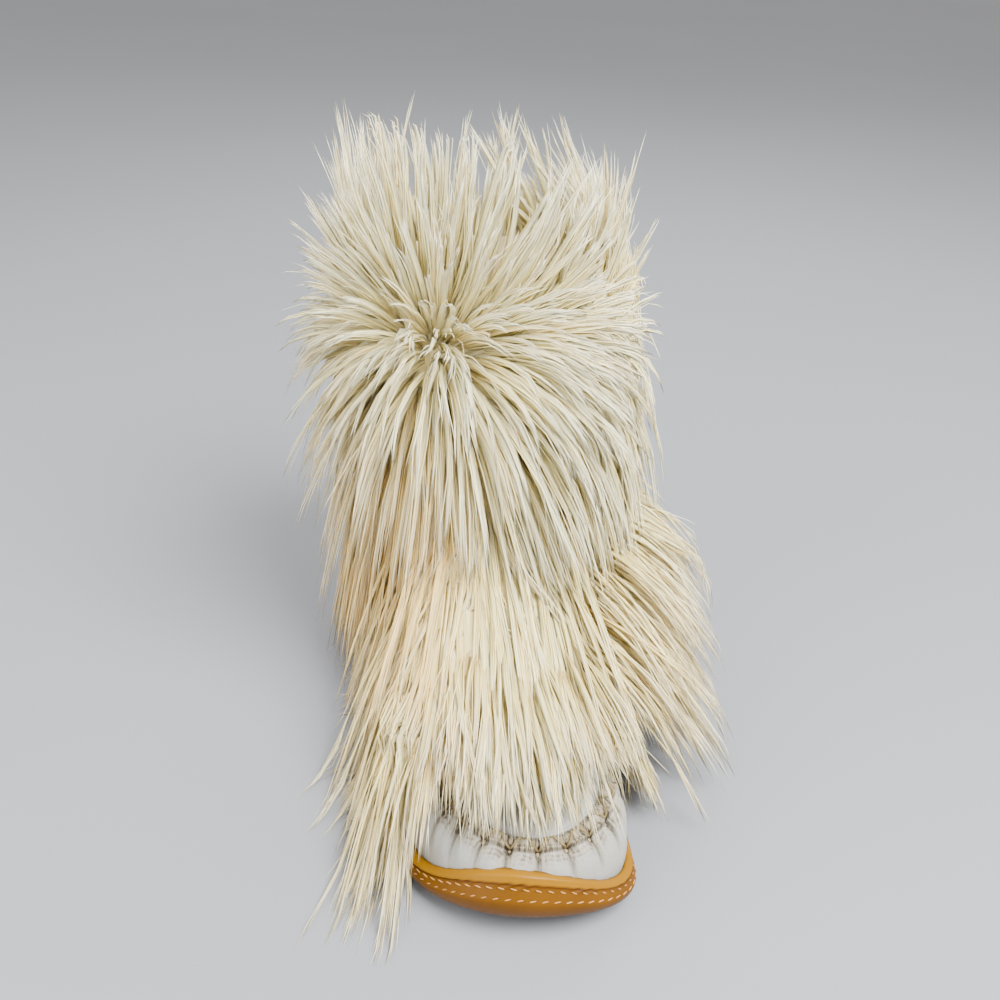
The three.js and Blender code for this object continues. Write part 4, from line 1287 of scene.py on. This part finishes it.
def make_hairs(line, across, away, size, shade_and_tone, warm, rng):
    """Fine three-sided hairs that run in their lock and fray past its edges and its tip."""
    owner = np.repeat(np.arange(len(line)), HAIRS_PER_LOCK)
    path = hair_paths(owner, line, across, away, size, rng)
    ahead = unit(np.gradient(path, axis=1))
    one = unit(np.cross(ahead, ODD_WAY))
    two = np.cross(one, ahead)
    angle = np.arange(3) * TAU / 3
    ring = one[:, :, None] * np.cos(angle)[:, None] + two[:, :, None] * np.sin(angle)[:, None]
    thick = HAIR_RADIUS * HAIR_TAPER[:-1]
    rings = path[:, :-1, None] + ring[:, :-1] * thick[None, :, None, None]
    values = {"shade_and_tone": shade_and_tone[owner] + rng.normal(-0.1, 0.8, len(owner)), "warm": warm[owner]}
    add_spikes("fine_hair", HAIR_PIECES, rings, path[:, -1], HAIR_STATIONS, values, HAIR)


def make_fur():
    rng = np.random.default_rng(11)
    line, normals, layer, flow = lock_lines(rng)
    across, away = lock_frames(line, normals)
    size = rng.uniform(0.55, 1.15, LOCKS) * mix(0.7, 1, smooth(0.5, 1, flow["length"]))
    # Painted shade: less round the whorl, more on the deeper locks, with random variation from lock to lock.
    pale = 0.5 * hump(from_whorl(line[:, 0]), 0, WHORL_CALM)
    shade_and_tone = 0.5 - 0.6 * layer - pale + rng.normal(0, 0.2, LOCKS)
    warm = warm_patches(line[:, 2]) + rng.normal(0.04, 0.14, LOCKS)
    make_locks(line, across, away, size, shade_and_tone, warm)
    make_hairs(line, across, away, size, shade_and_tone, warm, rng)


make_outsole()
make_sole_stitches()
make_upper()
make_seam_thread()
make_insole()
make_undercoat()
make_fur()


# Floor, light and camera.
def make_floor():
    points = np.array([[-20, -20, 0], [20, -20, 0], [20, 20, 0], [-20, 20, 0]]) / MM
    floor_finish = Nodes("floor_finish")
    pale = floor_finish.blend(floor_finish.noise(1.5, 2), srgb(118, 120, 125), srgb(126, 128, 132))
    finish = floor_finish.set(base_color=pale, roughness=0.85)
    add_mesh("floor", points, [np.array([[0, 1, 2, 3]])], finish)


# Lights: name, place, size in metres, power in watts.
LIGHTS = (
    ("key", (0.5, -0.75, 1.25), 0.8, 94),
    ("fill", (-1.1, -0.7, 0.8), 1.2, 30),
    ("back", (0.3, 0.9, 1.2), 0.8, 16),
)
LIGHT_TARGET = Vector((0, -0.05, 0.1))
WORLD_COLOUR = (1.0, 0.98, 0.95, 1)
WORLD_STRENGTH = 1.2


def make_lights():
    for name, place, size, power in LIGHTS:
        lamp = bpy.data.lights.new(name, "AREA")
        lamp.size = size
        lamp.energy = power
        holder = bpy.data.objects.new(name, lamp)
        holder.location = place
        holder.rotation_euler = (LIGHT_TARGET - Vector(place)).to_track_quat("-Z", "Y").to_euler()
        bpy.context.scene.collection.objects.link(holder)
    world = bpy.data.worlds.new("studio")
    world.use_nodes = True
    background = world.node_tree.nodes["Background"]
    background.inputs["Color"].default_value = WORLD_COLOUR
    background.inputs["Strength"].default_value = WORLD_STRENGTH
    bpy.context.scene.world = world


CAMERA_AZIMUTH = math.radians(-6)
CAMERA_ELEVATION = math.radians(28.5)
CAMERA_ROLL = math.radians(2.2)
CAMERA_DISTANCE = 571
CAMERA_TARGET = np.array([0, -80, 130.0])
FOCAL_PIXELS = 1172
IMAGE_PIXELS = 1000
SENSOR_WIDTH = 36


def make_camera():
    """A camera at the photograph's angle, aimed at the middle of the boot and rolled a little."""
    cos_up, sin_up = math.cos(CAMERA_ELEVATION), math.sin(CAMERA_ELEVATION)
    back = Vector((math.sin(CAMERA_AZIMUTH) * cos_up, -math.cos(CAMERA_AZIMUTH) * cos_up, sin_up))
    right = Vector((math.cos(CAMERA_AZIMUTH), math.sin(CAMERA_AZIMUTH), 0))
    up = back.cross(right)
    turned_right = right * math.cos(CAMERA_ROLL) + up * math.sin(CAMERA_ROLL)
    turned_up = up * math.cos(CAMERA_ROLL) - right * math.sin(CAMERA_ROLL)
    place = Vector(CAMERA_TARGET * MM) + back * CAMERA_DISTANCE * MM
    turn = Matrix((turned_right, turned_up, back)).transposed().to_4x4()
    data = bpy.data.cameras.new("camera")
    data.sensor_width = SENSOR_WIDTH
    data.lens = FOCAL_PIXELS * SENSOR_WIDTH / IMAGE_PIXELS
    data.clip_start = 0.01
    camera = bpy.data.objects.new("camera", data)
    camera.matrix_world = Matrix.Translation(place) @ turn
    bpy.context.scene.collection.objects.link(camera)
    bpy.context.scene.camera = camera


make_floor()
make_lights()
make_camera()
